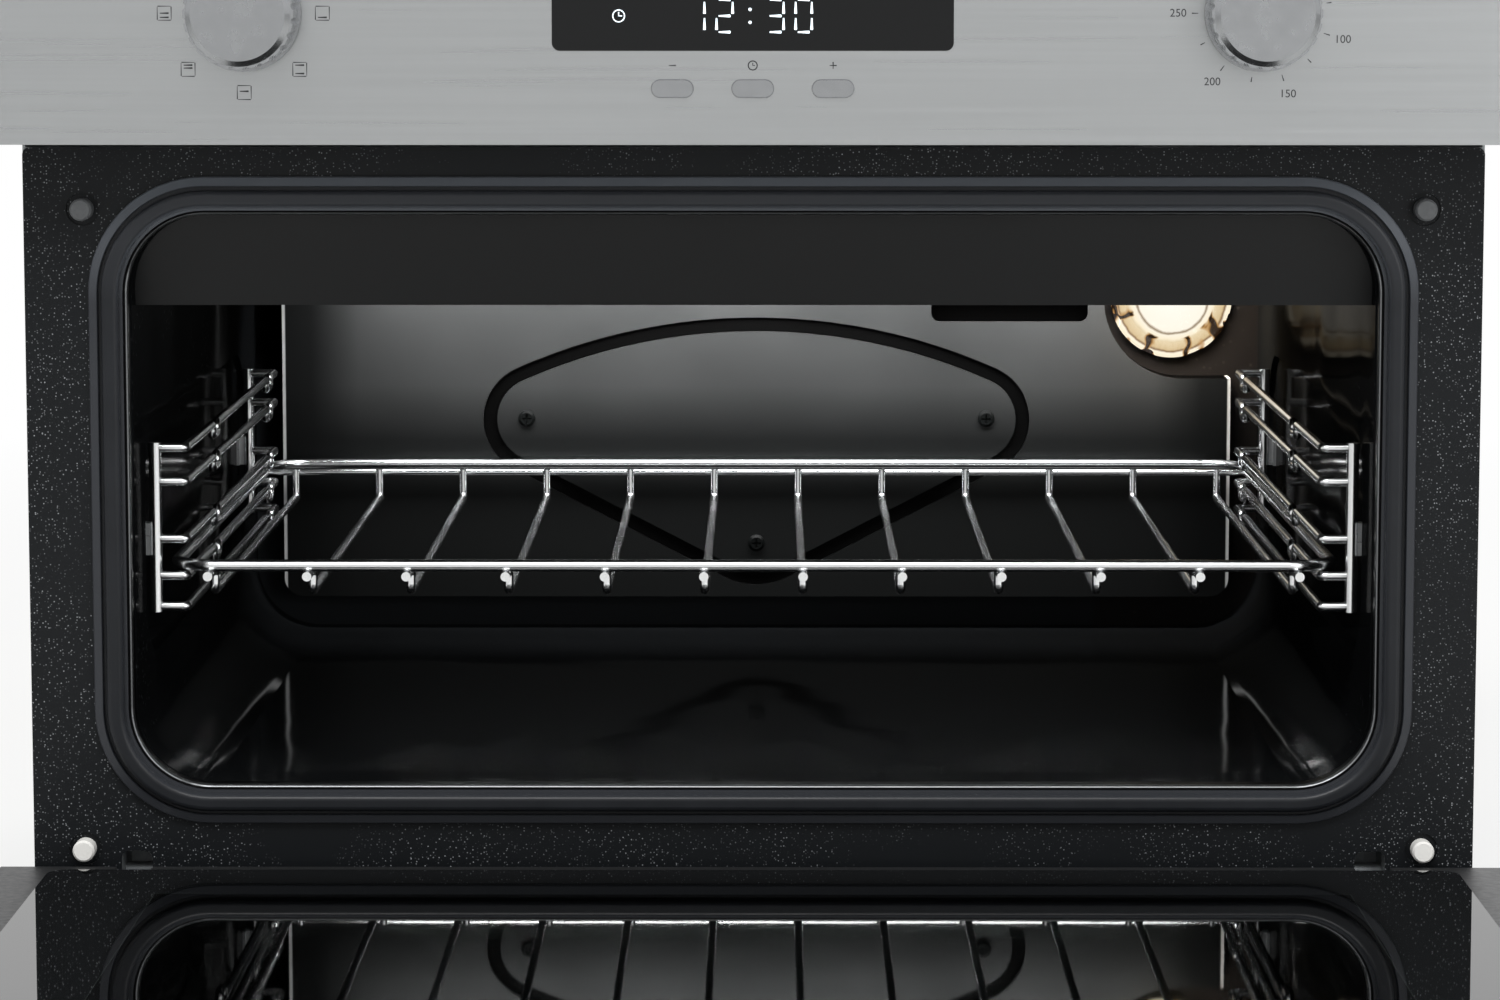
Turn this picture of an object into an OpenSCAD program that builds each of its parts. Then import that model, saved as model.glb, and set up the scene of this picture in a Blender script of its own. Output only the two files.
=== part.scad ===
// Compact built-in wall oven with a drop-down door, drawn with the door open.
// X runs to the right, Y into the cavity and Z up. The origin is the middle of the
// base plate's underside, and the front frame's face is half the carcase depth before it.

/* [Carcase] */
// Width of the carcase that slides into the niche
body_w = 560; // [558:1:562]
// Depth of the carcase from the front frame to the back cover
body_d = 540; // [538:1:544]
// Height of the fascia's top edge
body_h = 455; // [454:1:458]
// Thickness of the pressed steel sheets
sheet = 1; // [0.8:0.1:1]
// Bottom edge of the front frame
frame_bottom = 36; // [35:0.5:37]
// Top edge of the front frame
frame_top = 354.5; // [354:0.5:355]

/* [Cavity] */
// Width between the side walls
cavity_w = 480; // [478:1:480]
// Height from floor to ceiling
cavity_h = 221.5; // [221:0.5:222]
// Depth from the front frame to the back wall
cavity_d = 442; // [440:1:444]
// Radius of the cavity's long corners
cavity_r = 30; // [28:1:31]
// Height of the cavity floor above the base
floor_z = 107; // [106.5:0.5:107.5]

/* [Racks and shelf] */
// Heights of the five runners on each side
runner_z = [233.9, 220.4, 197.6, 182.9, 170.6];
// Wire radius of the runners
runner_r = 1.9; // [1.8:0.05:1.95]
// Distance of the runners from the middle
runner_x = 225; // [224:0.5:226]
// Number of long wires in the shelf
shelf_wires = 12; // [10:2:12]
// Spacing of the long wires
shelf_pitch = 39.2; // [38:0.1:39.4]
// Radius of the shelf's frame rod
shelf_r = 2.4; // [2.3:0.05:2.45]

/* [Door] */
// Width of the door and of the fascia
door_w = 595; // [594:1:596]
// Bottom edge of the closed door
door_bottom = 46; // [45.5:0.5:46.5]
// Top edge of the closed door
door_top = 354; // [353.5:0.5:354.5]
// Door angle: 0 is down and open, 90 is closed
door_angle = 0; // [0:5:90]
// Distance of each hinge from the middle
hinge_x = 240; // [238:0.5:241]

/* [Controls] */
// Distance of each knob from the middle
knob_x = 190; // [185:1:195]
// Radius of the knobs
knob_r = 20.5; // [19:0.5:21]
// Spacing of the three buttons
button_pitch = 30; // [26:1:32]
// Number of blades on the cooling fan
blade_count = 24; // [20:1:26]

/* [Hidden] */
$fn = 64;

enamel = "#232527";
steel = "#c8cacb";
zinc = "#a9adaf";
chrome = "#d8dadc";

front_y = -body_d / 2;
back_y = body_d / 2;
side_x = body_w / 2;
frame_h = frame_top - frame_bottom;
frame_z = (frame_top + frame_bottom) / 2;
tray_z = frame_top - sheet;
cover_z = body_h - 9;

// The opening in the frame is a little wider than the cavity behind it
opening_w = cavity_w + 1;
mid_z = floor_z + cavity_h / 2;
ceiling_z = floor_z + cavity_h;
rim_d = 8;
rim_bend = 1.8;
liner_y = front_y + rim_d;
wall_y = front_y + cavity_d;

bumper_spots = [[-257.2, 330.8], [257.2, 330.8], [-260, 81.8], [260, 81.8]];
fixing_x = 270;
fixing_z = 54;

// Rear panel: a shallow pressed box in front of the back wall
panel_y = wall_y - 17;
panel_w = 451;
panel_bottom = 123;
panel_top = 290;
panel_r = 9;
notch_x = 165;
notch_z = 227.6;
notch_r = 38;
panel_slot = [83, 254.8, 74.4, 14];
panel_screws = [[-109.3, 208.5], [109.3, 208.5], [0, 148.9]];

// Pressed groove: a rounded triangle with a slightly arched top
groove_half_w = 3.3;
groove_end = [103.3, 208];
groove_end_r = 23.4;
groove_tip = [0, 162];
groove_tip_r = 30;
groove_arch = [0, -23.8];
groove_arch_r = norm(groove_end - groove_arch) + groove_end_r;
groove_lean = atan2(groove_end[1] - groove_tip[1], groove_end[0] - groove_tip[0])
    - acos((groove_tip_r - groove_end_r) / norm(groove_end - groove_tip));

lamp_x = 198;
lamp_z = 265.5;
lamp_r = 28.8;
lamp_dome_r = 21.6;

grill_z = 308;
grill_r = 3.25;
grill_columns = [20, 80, 140, 200];
bottom_heat_z = 100;

rack_x = 237;
rack_front_y = front_y + 47;
rack_back_y = front_y + 382;
rack_r = 2.5;
stop_dip = 4.2;
stop_bend = 2.05;
stop_half = 7;

shelf_z = runner_z[3] + runner_r + 0.35 + shelf_r;
shelf_x = 230;
shelf_front_y = front_y + 42;
shelf_back_y = front_y + 417;
wire_r = 1.85;
wire_z = 175;

hinge_y = front_y - 23;
hinge_z = 64;
door_front_y = front_y - 41;
door_back_y = front_y - 11;
door_h = door_top - door_bottom;
door_z = (door_top + door_bottom) / 2;
glass = 4;
handle_y = door_front_y - 30;
handle_z = 325;
handle_r = 7;
handle_half = 240;
post_x = 225;

fascia_bottom = 357;
fascia_h = body_h - fascia_bottom;
fascia_z = (body_h + fascia_bottom) / 2;
fascia_t = 1.2;
fascia_back_y = door_front_y + fascia_t;
bracket_y = front_y - 15.2;
knob_z = fascia_z;
window_w = 150;
window_h = 44;
window_z = 414;
button_z = 378;
shaft_r = 3;
running_gap = 0.05;
thermostat_d = 22;

fan_y = 120;
fan_z = 396;
fan_r = 27;
fan_half = 80;
scroll_r = 38;
duct_top = 380.2;

gland_x = -215;
gland_z = 402;

// ---------- shared shapes ----------

module along_x(x0, len) {
    translate([x0, 0, 0]) rotate([90, 0, 90]) linear_extrude(len) children();
}

module along_y(y0, len) {
    translate([0, y0 + len, 0]) rotate([90, 0, 0]) linear_extrude(len) children();
}

module along_z(z0, len) {
    translate([0, 0, z0]) linear_extrude(len) children();
}

module pin_x(x0, y, z, len, r) {
    translate([x0, y, z]) rotate([0, 90, 0]) cylinder(r = r, h = len);
}

module pin_y(x, y0, z, len, r) {
    translate([x, y0, z]) rotate([-90, 0, 0]) cylinder(r = r, h = len);
}

module both_sides() {
    children();
    mirror([1, 0, 0]) children();
}

// A box from one corner to the opposite one
module block(from, to) {
    translate(from) cube(to - from);
}

module round_rect(w, h, r) {
    square([w - 2 * r, h], center = true);
    square([w, h - 2 * r], center = true);
    for (x = [-1, 1], y = [-1, 1])
        translate([x * (w / 2 - r), y * (h / 2 - r)]) circle(r = r);
}

module stadium(w, h) {
    square([w - h, h], center = true);
    for (x = [-1, 1]) translate([x * (w - h) / 2, 0]) circle(d = h);
}

// Outline of the oven's opening, grown by e
module opening_outline(e) {
    translate([0, mid_z]) round_rect(opening_w + 2 * e, cavity_h + 2 * e, cavity_r + e);
}

// Sweeps a profile round a rounded rectangle: its x is outwards, its y is up
module rim_sweep(w, h, r) {
    turns = [[1, 1, 0], [-1, 1, 90], [-1, -1, 180], [1, -1, 270]];
    for (t = turns)
        translate([t[0] * (w / 2 - r), t[1] * (h / 2 - r), 0]) rotate([0, 0, t[2]])
            rotate_extrude(angle = 90) translate([r, 0]) children();
    for (s = [-1, 1]) {
        translate([s * w / 2, 0, 0]) rotate([90, 0, 0]) rotate([0, s > 0 ? 0 : 180, 0])
            linear_extrude(h - 2 * r, center = true) children();
        translate([0, s * h / 2, 0]) rotate([90, 0, 90 * s])
            linear_extrude(w - 2 * r, center = true) children();
    }
}

function unit(v) = v / norm(v);
function flip_x(p) = [for (i = [len(p) - 1 : -1 : 0]) [-p[i][0], p[i][1], p[i][2]]];

module straight_wire(a, b, r) {
    d = b - a;
    turn = [0, acos(d[2] / norm(d)), atan2(d[1], d[0])];
    translate(a) rotate(turn) cylinder(r = r, h = norm(d));
}

// Quarter bend of a wire at the corner b between a and c
module elbow(a, b, c, r, q) {
    u = unit(a - b);
    v = unit(c - b);
    n = cross(v, u);
    o = b + (u + v) * q;
    place = [
        [-v[0], -u[0], n[0], o[0]],
        [-v[1], -u[1], n[1], o[1]],
        [-v[2], -u[2], n[2], o[2]],
        [0, 0, 0, 1]
    ];
    multmatrix(place) rotate_extrude(angle = 90) translate([q, 0]) circle(r = r);
}

// Round wire of radius r along points p, whose square corners are bent to radius q
module wire(p, r, q) {
    last = len(p) - 1;
    for (i = [0 : last - 1]) {
        along = unit(p[i + 1] - p[i]) * q;
        from = i == 0 ? p[0] : p[i] + along;
        to = i == last - 1 ? p[last] : p[i + 1] - along;
        straight_wire(from, to, r);
    }
    for (i = [1 : last - 1]) elbow(p[i - 1], p[i], p[i + 1], r, q);
}

// Carries what is drawn on the closed door to the door's own angle
module on_door() {
    translate([0, hinge_y, hinge_z]) rotate([90 - door_angle, 0, 0])
        translate([0, -hinge_y, -hinge_z]) children();
}

module pan_head(r, h) {
    cylinder(r = r, h = h * 0.6);
    translate([0, 0, h * 0.6]) cylinder(r1 = r, r2 = r * 0.7, h = h * 0.4);
}

// ---------- front frame and cavity ----------

// Quarter bend of the sheet at the opening's edge, with a short straight on either side
module bend_section() {
    intersection() {
        translate([rim_bend, -rim_bend]) difference() {
            circle(r = rim_bend);
            circle(r = rim_bend - sheet);
        }
        translate([0, -rim_bend]) square(rim_bend);
    }
    translate([rim_bend, -sheet]) square([0.6, sheet]);
    translate([0, -rim_bend - 0.6]) square([sheet, 0.6]);
}

module front_frame() {
    color(enamel) difference() {
        union() {
            along_y(front_y, sheet) difference() {
                translate([0, frame_z]) round_rect(body_w, frame_h, 3);
                opening_outline(rim_bend);
            }
            // Outer edges turned back, for the side panels to lie on
            along_y(front_y + sheet, 14) translate([0, frame_z]) difference() {
                round_rect(body_w - 2 * sheet, frame_h - 2 * sheet, 3);
                round_rect(body_w - 4 * sheet, frame_h - 4 * sheet, 2);
            }
            // Rim of the opening, bent back on a small radius to meet the cavity liner
            along_y(front_y + rim_bend, rim_d - rim_bend) difference() {
                opening_outline(sheet);
                opening_outline(0);
            }
            translate([0, front_y, mid_z]) rotate([90, 0, 0])
                rim_sweep(opening_w, cavity_h, cavity_r) bend_section();
            for (p = bumper_spots) pin_y(p[0], front_y + sheet, p[1], 1.2, 7.3);
        }
        for (p = bumper_spots) {
            pin_y(p[0], front_y - 1, p[1], 2.2, 6.4);
            pin_y(p[0], front_y - 1, p[1], 5, 2.3);
        }
        both_sides() {
            along_y(front_y - 1, 3) translate([hinge_x, hinge_z]) round_rect(12, 34, 3);
            pin_y(fixing_x, front_y - 1, fixing_z, 3, 2.5);
        }
    }
}

// Shallow pressing in each side wall, behind the rack
module wall_pressing(e, depth) {
    along_x(0, depth) translate([front_y + 215, 197]) round_rect(352 + 2 * e, 94 + 2 * e, 30 + e);
}

module cavity_liner() {
    half = cavity_w / 2;
    color(enamel) difference() {
        union() {
            along_y(liner_y, wall_y - liner_y) translate([0, mid_z])
                round_rect(cavity_w + 2 * sheet, cavity_h + 2 * sheet, cavity_r + sheet);
            both_sides() translate([half, 0, 0]) wall_pressing(sheet, 3.5);
        }
        along_y(liner_y - 1, cavity_d) translate([0, mid_z])
            round_rect(cavity_w, cavity_h, cavity_r);
        both_sides() translate([half - 1, 0, 0]) wall_pressing(0, 3.5);
    }
}

module cavity_back_wall() {
    color(enamel) difference() {
        union() {
            along_y(wall_y, sheet) translate([0, mid_z])
                round_rect(cavity_w + 6, cavity_h + 6, cavity_r + 3);
            // Spacers that carry the rear panel
            for (p = panel_screws) pin_y(p[0], panel_y + sheet, p[1], wall_y - panel_y - sheet, 5);
        }
        for (p = panel_screws) pin_y(p[0], panel_y, p[1], 30, 2.2);
        pin_y(lamp_x, wall_y - 1, lamp_z, 4, 24.3);
        both_sides() pin_y(25, wall_y - 1, grill_z, 4, grill_r + 0.3);
        pin_y(168, wall_y - 1, 317, 4, 3.4);
        along_y(wall_y - 1, 4) translate([120, 278]) stadium(44, 20);
    }
}

module panel_outline(e) {
    h = panel_top - panel_bottom;
    difference() {
        translate([0, (panel_top + panel_bottom) / 2])
            round_rect(panel_w - 2 * e, h - 2 * e, panel_r - e);
        translate([notch_x + notch_r, notch_z + notch_r]) circle(r = notch_r + e);
        translate([notch_x - e, notch_z + notch_r]) square(100);
        translate([notch_x + notch_r, notch_z - e]) square(100);
    }
}

// Filled rounded triangle, grown by e
module groove_outline(e) {
    lean = [cos(groove_lean), sin(groove_lean)];
    arch = groove_arch + unit(groove_end - groove_arch) * (groove_arch_r + e);
    side_top = groove_end + lean * (groove_end_r + e);
    side_low = groove_tip + lean * (groove_tip_r + e);
    right = [arch, side_top, side_low];
    left = [for (i = [2 : -1 : 0]) [-right[i][0], right[i][1]]];
    polygon(concat(right, left));
    for (x = [-1, 1]) translate([x * groove_end[0], groove_end[1]]) circle(r = groove_end_r + e);
    translate(groove_tip) circle(r = groove_tip_r + e);
    intersection() {
        translate(groove_arch) circle(r = groove_arch_r + e, $fn = 180);
        translate([-arch[0], arch[1] - 1]) square([2 * arch[0], 60]);
    }
}

module groove_ring(half_w) {
    difference() {
        groove_outline(half_w);
        groove_outline(-half_w);
    }
}

module rear_panel() {
    color("#77797b") difference() {
        union() {
            along_y(panel_y, sheet) panel_outline(0);
            along_y(panel_y, wall_y - panel_y) difference() {
                panel_outline(0);
                panel_outline(sheet);
            }
            along_y(panel_y + sheet, 2.2) groove_ring(groove_half_w + 1);
        }
        along_y(panel_y - 1, 3.2) groove_ring(groove_half_w);
        along_y(panel_y - 1, 3) translate([panel_slot[0], panel_slot[1]])
            translate([panel_slot[2] / 2, panel_slot[3] / 2])
            round_rect(panel_slot[2], panel_slot[3], 4);
        for (p = panel_screws) pin_y(p[0], panel_y - 1, p[1], 3, 2.2);
    }
}

module rear_panel_screws() {
    color(steel) for (p = panel_screws) translate([p[0], panel_y, p[1]]) rotate([90, 0, 0])
        difference() {
            union() {
                pan_head(4, 2.4);
                translate([0, 0, -20]) cylinder(r = 2, h = 20);
            }
            translate([0, 0, 2.4]) for (a = [0, 90]) rotate([0, 0, a])
                cube([4.4, 0.9, 2.4], center = true);
        }
}

// Deflector strip across the top of the opening, in front of the grill
module front_header() {
    low = ceiling_z - 36;
    section = [
        [front_y + 12, ceiling_z], [front_y + 20, low], [front_y + 35, low],
        [front_y + 35, low + 6], [front_y + 34, low + 6], [front_y + 34, low + 1],
        [front_y + 21, low + 1], [front_y + 13, ceiling_z]
    ];
    color("#1f2122") intersection() {
        along_x(-cavity_w / 2, cavity_w) polygon(section);
        along_y(front_y, 60) translate([0, mid_z])
            round_rect(cavity_w, cavity_h, cavity_r);
    }
}

// Hollow bulb next to the opening, and a thin lip that lies on the frame
module gasket_section() {
    difference() {
        union() {
            translate([rim_bend, 0]) square([14.2 - rim_bend, 1.5]);
            translate([3, 0]) square([6.6, 4.4]);
            translate([5.2, 4.4]) circle(r = 2.2);
            translate([7.4, 4.4]) circle(r = 2.2);
            translate([5.2, 4]) square([2.2, 2.6]);
            polygon([[11, 0], [14.8, 0], [14.8, 1.9], [14.4, 2.5], [11.4, 3.9], [11, 3.5]]);
        }
        translate([6.3, 3.6]) circle(r = 1.9);
    }
}

module door_gasket() {
    color("#2c2e31") translate([0, front_y, mid_z]) rotate([90, 0, 0])
        rim_sweep(opening_w, cavity_h, cavity_r) gasket_section();
}

module door_bumpers() {
    stop = front_y - door_back_y - glass - 0.4;
    color("#6c6e70") for (p = bumper_spots) translate([p[0], front_y, p[1]]) rotate([90, 0, 0]) {
        translate([0, 0, -1]) cylinder(r = 4.25, h = stop);
        translate([0, 0, stop - 1]) cylinder(r1 = 4.25, r2 = 3.5, h = 1);
        translate([0, 0, -8]) cylinder(r = 2.2, h = 7);
    }
}

// ---------- heating, lamp and racks ----------

module grill_element() {
    near = front_y + 62;
    far = front_y + 340;
    back = wall_y + 32;
    c = grill_columns;
    half = [
        [25, back, grill_z], [25, far + 46, grill_z], [c[3], far + 46, grill_z],
        [c[3], near, grill_z], [c[2], near, grill_z], [c[2], far, grill_z], [c[1], far, grill_z],
        [c[1], near, grill_z], [c[0], near, grill_z], [c[0], far, grill_z]
    ];
    color("#3b3c3e") wire(concat(half, flip_x(half)), grill_r, 14);
}

// Two combs that hang the grill element from the ceiling
module grill_supports() {
    color(zinc) for (y = [front_y + 140, front_y + 290]) along_y(y, 1.5) difference() {
        union() {
            translate([0, grill_z]) square([424, 12], center = true);
            for (x = [-170, 0, 170])
                translate([x - 7, grill_z]) square([14, ceiling_z - grill_z]);
        }
        for (c = grill_columns, s = [-1, 1]) translate([s * c, grill_z]) circle(r = grill_r + 0.2);
    }
}

module bottom_element() {
    z = bottom_heat_z;
    half = [
        [30, wall_y + 32, z], [30, wall_y - 22, z], [190, wall_y - 22, z], [190, front_y + 80, z]
    ];
    color("#3b3c3e") {
        wire(concat(half, flip_x(half)), grill_r, 20);
        // Tabs spot-welded to the underside of the cavity floor
        both_sides() for (y = [front_y + 130, front_y + 330])
            block([185, y, z], [195, y + 1.5, floor_z - sheet]);
    }
}

module lamp_holder() {
    color(zinc) translate([lamp_x, wall_y + sheet, lamp_z]) rotate([-90, 0, 0]) difference() {
        union() {
            cylinder(r = 34, h = 1.5);
            cylinder(r = 27, h = 34);
            for (x = [-4, 4]) translate([x - 1.5, -3, 34]) cube([3, 6, 8]);
        }
        translate([0, 0, -1]) difference() {
            cylinder(r = 24.3, h = 33);
            translate([0, 0, 25]) cylinder(r = 11, h = 20);
        }
    }
}

module lamp_bulb() {
    color("#f4f2ea") translate([lamp_x, 0, lamp_z]) {
        translate([0, wall_y + 5, 0]) sphere(r = 6.5);
        pin_y(0, wall_y + 5, 0, 14, 6.5);
        translate([-6, wall_y + 19, -3]) cube([12, 6, 6]);
    }
}

// Screw-in glass cover: a lobed rim round a shallow dome, with a neck behind it
module lamp_lens() {
    rise = 9;
    dome_r = (lamp_dome_r * lamp_dome_r + rise * rise) / (2 * rise);
    color("#f1efe6") translate([lamp_x, wall_y, lamp_z]) rotate([90, 0, 0]) difference() {
        rotate_extrude() {
            translate([21, -9]) square([3, 10]);
            translate([lamp_dome_r - 1, 0]) square([lamp_r - lamp_dome_r - 1, 7]);
            translate([lamp_r - 2, 0]) square([2, 5]);
            translate([lamp_r - 2, 5]) circle(r = 2);
            intersection() {
                translate([0, 7 + rise - dome_r]) difference() {
                    circle(r = dome_r, $fn = 120);
                    circle(r = dome_r - 2.4, $fn = 120);
                }
                translate([0, 5]) square([lamp_dome_r, 30]);
            }
        }
        for (a = [0 : 45 : 315]) rotate([0, 0, a + 22.5])
            translate([lamp_r + 2.4, 0, 1.5]) cylinder(r = 4.4, h = 12);
    }
}

// Wire rack of one side: two uprights and five runners with two stops each
module side_rack() {
    for (y = [rack_front_y, rack_back_y])
        straight_wire([rack_x, y, runner_z[4] - 2.1], [rack_x, y, runner_z[0] + 2.1], rack_r);
    for (z = runner_z) {
        stops = [for (y = [rack_front_y + 97, rack_back_y - 30]) each [
            [runner_x, y - stop_half, z], [runner_x, y - stop_half, z - stop_dip],
            [runner_x, y + stop_half, z - stop_dip], [runner_x, y + stop_half, z]
        ]];
        path = concat(
            [[rack_x, rack_front_y, z], [runner_x, rack_front_y, z]],
            stops,
            [[runner_x, rack_back_y, z], [rack_x, rack_back_y, z]]
        );
        wire(path, runner_r, stop_bend);
    }
}

module rack_left() {
    color(chrome) mirror([1, 0, 0]) side_rack();
}

module rack_right() {
    color(chrome) side_rack();
}

// Spring clips on the pressed field of the walls, each round the back of an upright
module rack_clips() {
    wall_x = cavity_w / 2 + 2.5;
    color(steel) both_sides() for (y = [rack_front_y, rack_back_y]) difference() {
        union() {
            block([rack_x - 1, y, 191], [wall_x, y + 5, 204]);
            block([wall_x - 1.2, y - 4, 191], [wall_x, y + 5, 204]);
        }
        straight_wire([rack_x, y, 180], [rack_x, y, 210], rack_r);
        pin_x(220, y, runner_z[2], 17, runner_r);
    }
}

module insulation_blanket() {
    color("#c9b98a") along_y(front_y + 32, cavity_d - 32) difference() {
        translate([0, 211]) round_rect(body_w - 24, 285, 40);
        translate([0, 213.25]) round_rect(cavity_w + 7, 235.5, 33);
    }
}

module insulation_back() {
    color("#c9b98a") along_y(wall_y + sheet, 24) difference() {
        translate([0, 212]) square([472, 240], center = true);
        translate([lamp_x, lamp_z]) circle(r = 36);
        translate([90, 262]) square([60, 80]);
        translate([-38, 296]) square([76, 24]);
        translate([-42, 80]) square([84, 30]);
        translate([168, 317]) circle(r = 6);
        for (p = panel_screws) translate(p) circle(r = 4);
    }
}

// Flue that carries vapour from the cavity to the cooling air
module vent_chimney() {
    color(zinc) difference() {
        block([94, wall_y + sheet, 262], [146, wall_y + 31, 374]);
        block([95, wall_y + sheet + 1, 263], [145, wall_y + 30, 380]);
        along_y(wall_y, 4) translate([120, 278]) stadium(44, 20);
    }
}

// Bulb under the ceiling, with its thin tube led up and forward to the thermostat
module thermostat_probe() {
    color("#b87333") {
        pin_y(168, wall_y - 92, 317, 98, 3);
        tube = [
            [168, wall_y + 4, 317], [168, wall_y + 45, 317], [168, wall_y + 45, 368],
            [168, front_y + 45, 368], [168, front_y + 45, 400], [knob_x, front_y + 45, 400],
            [knob_x, bracket_y + 1.2 + thermostat_d, 400]
        ];
        wire(tube, 1, 6);
    }
}

// ---------- casing ----------

module slot_row(count, pitch, w, h) {
    for (i = [0 : count - 1]) translate([(i - (count - 1) / 2) * pitch, 0]) stadium(w, h);
}

module base_plate() {
    color(zinc) difference() {
        union() {
            block([-side_x, front_y + sheet, 0], [side_x, back_y - 2, sheet]);
            both_sides() block([side_x - 2 * sheet, front_y + 16, 0], [side_x - sheet, back_y - 4, 16]);
            // Stiffening ribs pressed up from the sheet
            for (x = [-190, 190]) along_y(front_y + 60, 420) translate([x, 0])
                polygon([[-12, 0], [12, 0], [8, 5], [-8, 5]]);
            block([-side_x + 2, front_y + sheet, 0], [side_x - 2, front_y + 2 * sheet, 34]);
        }
        for (x = [-190, 190]) along_y(front_y + 50, 440) translate([x, 0])
            polygon([[-11, -1], [11, -1], [7, 4], [-7, 4]]);
        for (x = [-95, 95], row = [0 : 4]) along_z(-1, 4) translate([x, front_y + 120 + 70 * row])
            slot_row(3, 48, 38, 6);
    }
}

module side_panel() {
    color(zinc) difference() {
        union() {
            block([side_x - sheet, front_y + sheet, sheet], [side_x, back_y - sheet, cover_z]);
            block([side_x - 18, front_y + 8, cover_z - sheet], [side_x, back_y - sheet, cover_z]);
            block([side_x - 18, back_y - 2 * sheet, 20], [side_x, back_y - sheet, cover_z]);
        }
        for (k = [0, 1]) along_x(side_x - 5, 10) translate([170, 385 + 22 * k])
            slot_row(4, 40, 32, 6);
        along_x(side_x - 5, 10) translate([120, 40]) slot_row(5, 40, 32, 6);
        for (z = [60, 210, 380]) pin_y(side_x - 10, back_y - 5, z, 10, 1.6);
    }
}

module side_panel_left() {
    mirror([1, 0, 0]) side_panel();
}

module side_panel_right() {
    side_panel();
}

// Sheet over the insulated cavity, which carries the fan and the terminals
module component_tray() {
    color(zinc) difference() {
        block([-side_x + 1, front_y + 1.2, tray_z], [side_x - 1, back_y - 3, frame_top]);
        block([92, wall_y - 1, tray_z - 1], [148, wall_y + 33, frame_top + 1]);
        translate([168, wall_y + 45, tray_z - 1]) cylinder(r = 3, h = 4);
        for (x = [-200, 230]) along_z(tray_z - 1, 4) translate([x, -80]) slot_row(2, 30, 24, 8);
    }
}

module top_cover() {
    color(zinc) difference() {
        union() {
            block([-side_x, front_y + 8, cover_z], [side_x, back_y, cover_z + sheet]);
            block([-side_x + 20, front_y + 8, cover_z - 12], [side_x - 20, front_y + 9, cover_z]);
        }
        for (row = [0 : 5]) along_z(cover_z - 1, 4) translate([0, 90 + 14 * row])
            slot_row(4, 44, 36, 6);
        for (x = [-1, 1], y = [front_y + 40, 0, back_y - 40])
            translate([x * (side_x - 9), y, cover_z - 1]) cylinder(r = 1.6, h = 4);
    }
}

module back_cover() {
    color(zinc) difference() {
        union() {
            block([-side_x + 1, back_y - sheet, sheet], [side_x - 1, back_y, cover_z]);
            // Pressed field that stiffens the sheet
            along_y(back_y - 4, 3) translate([40, 190]) difference() {
                round_rect(400, 240, 20);
                round_rect(398, 238, 19);
            }
        }
        for (row = [0 : 4]) along_y(back_y - 6, 10) translate([60, 372 + 13 * row])
            slot_row(7, 44, 36, 5);
        for (row = [0 : 2]) along_y(back_y - 6, 10) translate([0, 26 + 13 * row])
            slot_row(9, 44, 36, 5);
        pin_y(gland_x, back_y - 5, gland_z, 10, 8.1);
        for (s = [-1, 1], z = [60, 210, 380]) pin_y(s * (side_x - 10), back_y - 5, z, 10, 1.6);
    }
}

module casing_screws() {
    color(steel) {
        for (s = [-1, 1], z = [60, 210, 380]) translate([s * (side_x - 10), back_y, z])
            rotate([-90, 0, 0]) {
                pan_head(3.6, 2);
                translate([0, 0, -9]) cylinder(r = 1.5, h = 9);
            }
        for (x = [-1, 1], y = [front_y + 40, 0, back_y - 40])
            translate([x * (side_x - 9), y, cover_z + sheet]) {
                pan_head(3.6, 2);
                translate([0, 0, -1]) cylinder(r = 1.5, h = 1);
            }
    }
}

// Stainless strip with air slots that closes the gap below the door
module lower_trim() {
    trim_y = front_y - 18;
    color(steel) difference() {
        union() {
            along_y(trim_y, 1.2) translate([0, 19]) round_rect(door_w - 2, 30, 2);
            block([-door_w / 2 + 1, trim_y, 32.8], [door_w / 2 - 1, front_y + sheet, 34]);
            block([-door_w / 2 + 1, trim_y, 4], [door_w / 2 - 1, trim_y + 14, 5.2]);
            both_sides() block([door_w / 2 - 2.2, trim_y, 5], [door_w / 2 - 1, front_y - 4, 33]);
        }
        for (row = [0, 1]) along_y(trim_y - 2, 6) translate([0, 14 + 10 * row])
            slot_row(11, 48, 38, 4);
    }
}

// ---------- cooling fan and electrics ----------

module blower_housing() {
    plate = 1.2;
    color(zinc) {
        difference() {
            for (x = [-fan_half - 9, fan_half + 9 - plate]) along_x(x, plate) {
                translate([fan_y, fan_z]) circle(r = scroll_r + plate);
                translate([fan_y - scroll_r, frame_top]) square([2 * scroll_r, fan_z - frame_top]);
            }
            pin_x(-fan_half - 20, fan_y, fan_z, 2 * fan_half + 40, 6);
        }
        // Scroll round the back of the rotor, with its floor and tongue
        along_x(-fan_half - 9 + plate, 2 * (fan_half + 9 - plate)) {
            translate([fan_y, fan_z]) difference() {
                circle(r = scroll_r + plate);
                circle(r = scroll_r);
                translate([-60, -60]) square([60, 120]);
            }
            translate([44, fan_z - scroll_r - plate]) square([fan_y - 44, plate]);
            translate([44, duct_top - plate]) square([44, plate]);
            polygon([[88, duct_top - plate], [88, duct_top], [83, duct_top + 12],
                [82, duct_top + 11.6], [86.6, duct_top - plate]]);
        }
        // Bearing on the free end of the shaft
        difference() {
            pin_x(-fan_half - 14, fan_y, fan_z, 6.2, 8);
            pin_x(-fan_half - 20, fan_y, fan_z, 20, shaft_r + running_gap);
        }
    }
}

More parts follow.
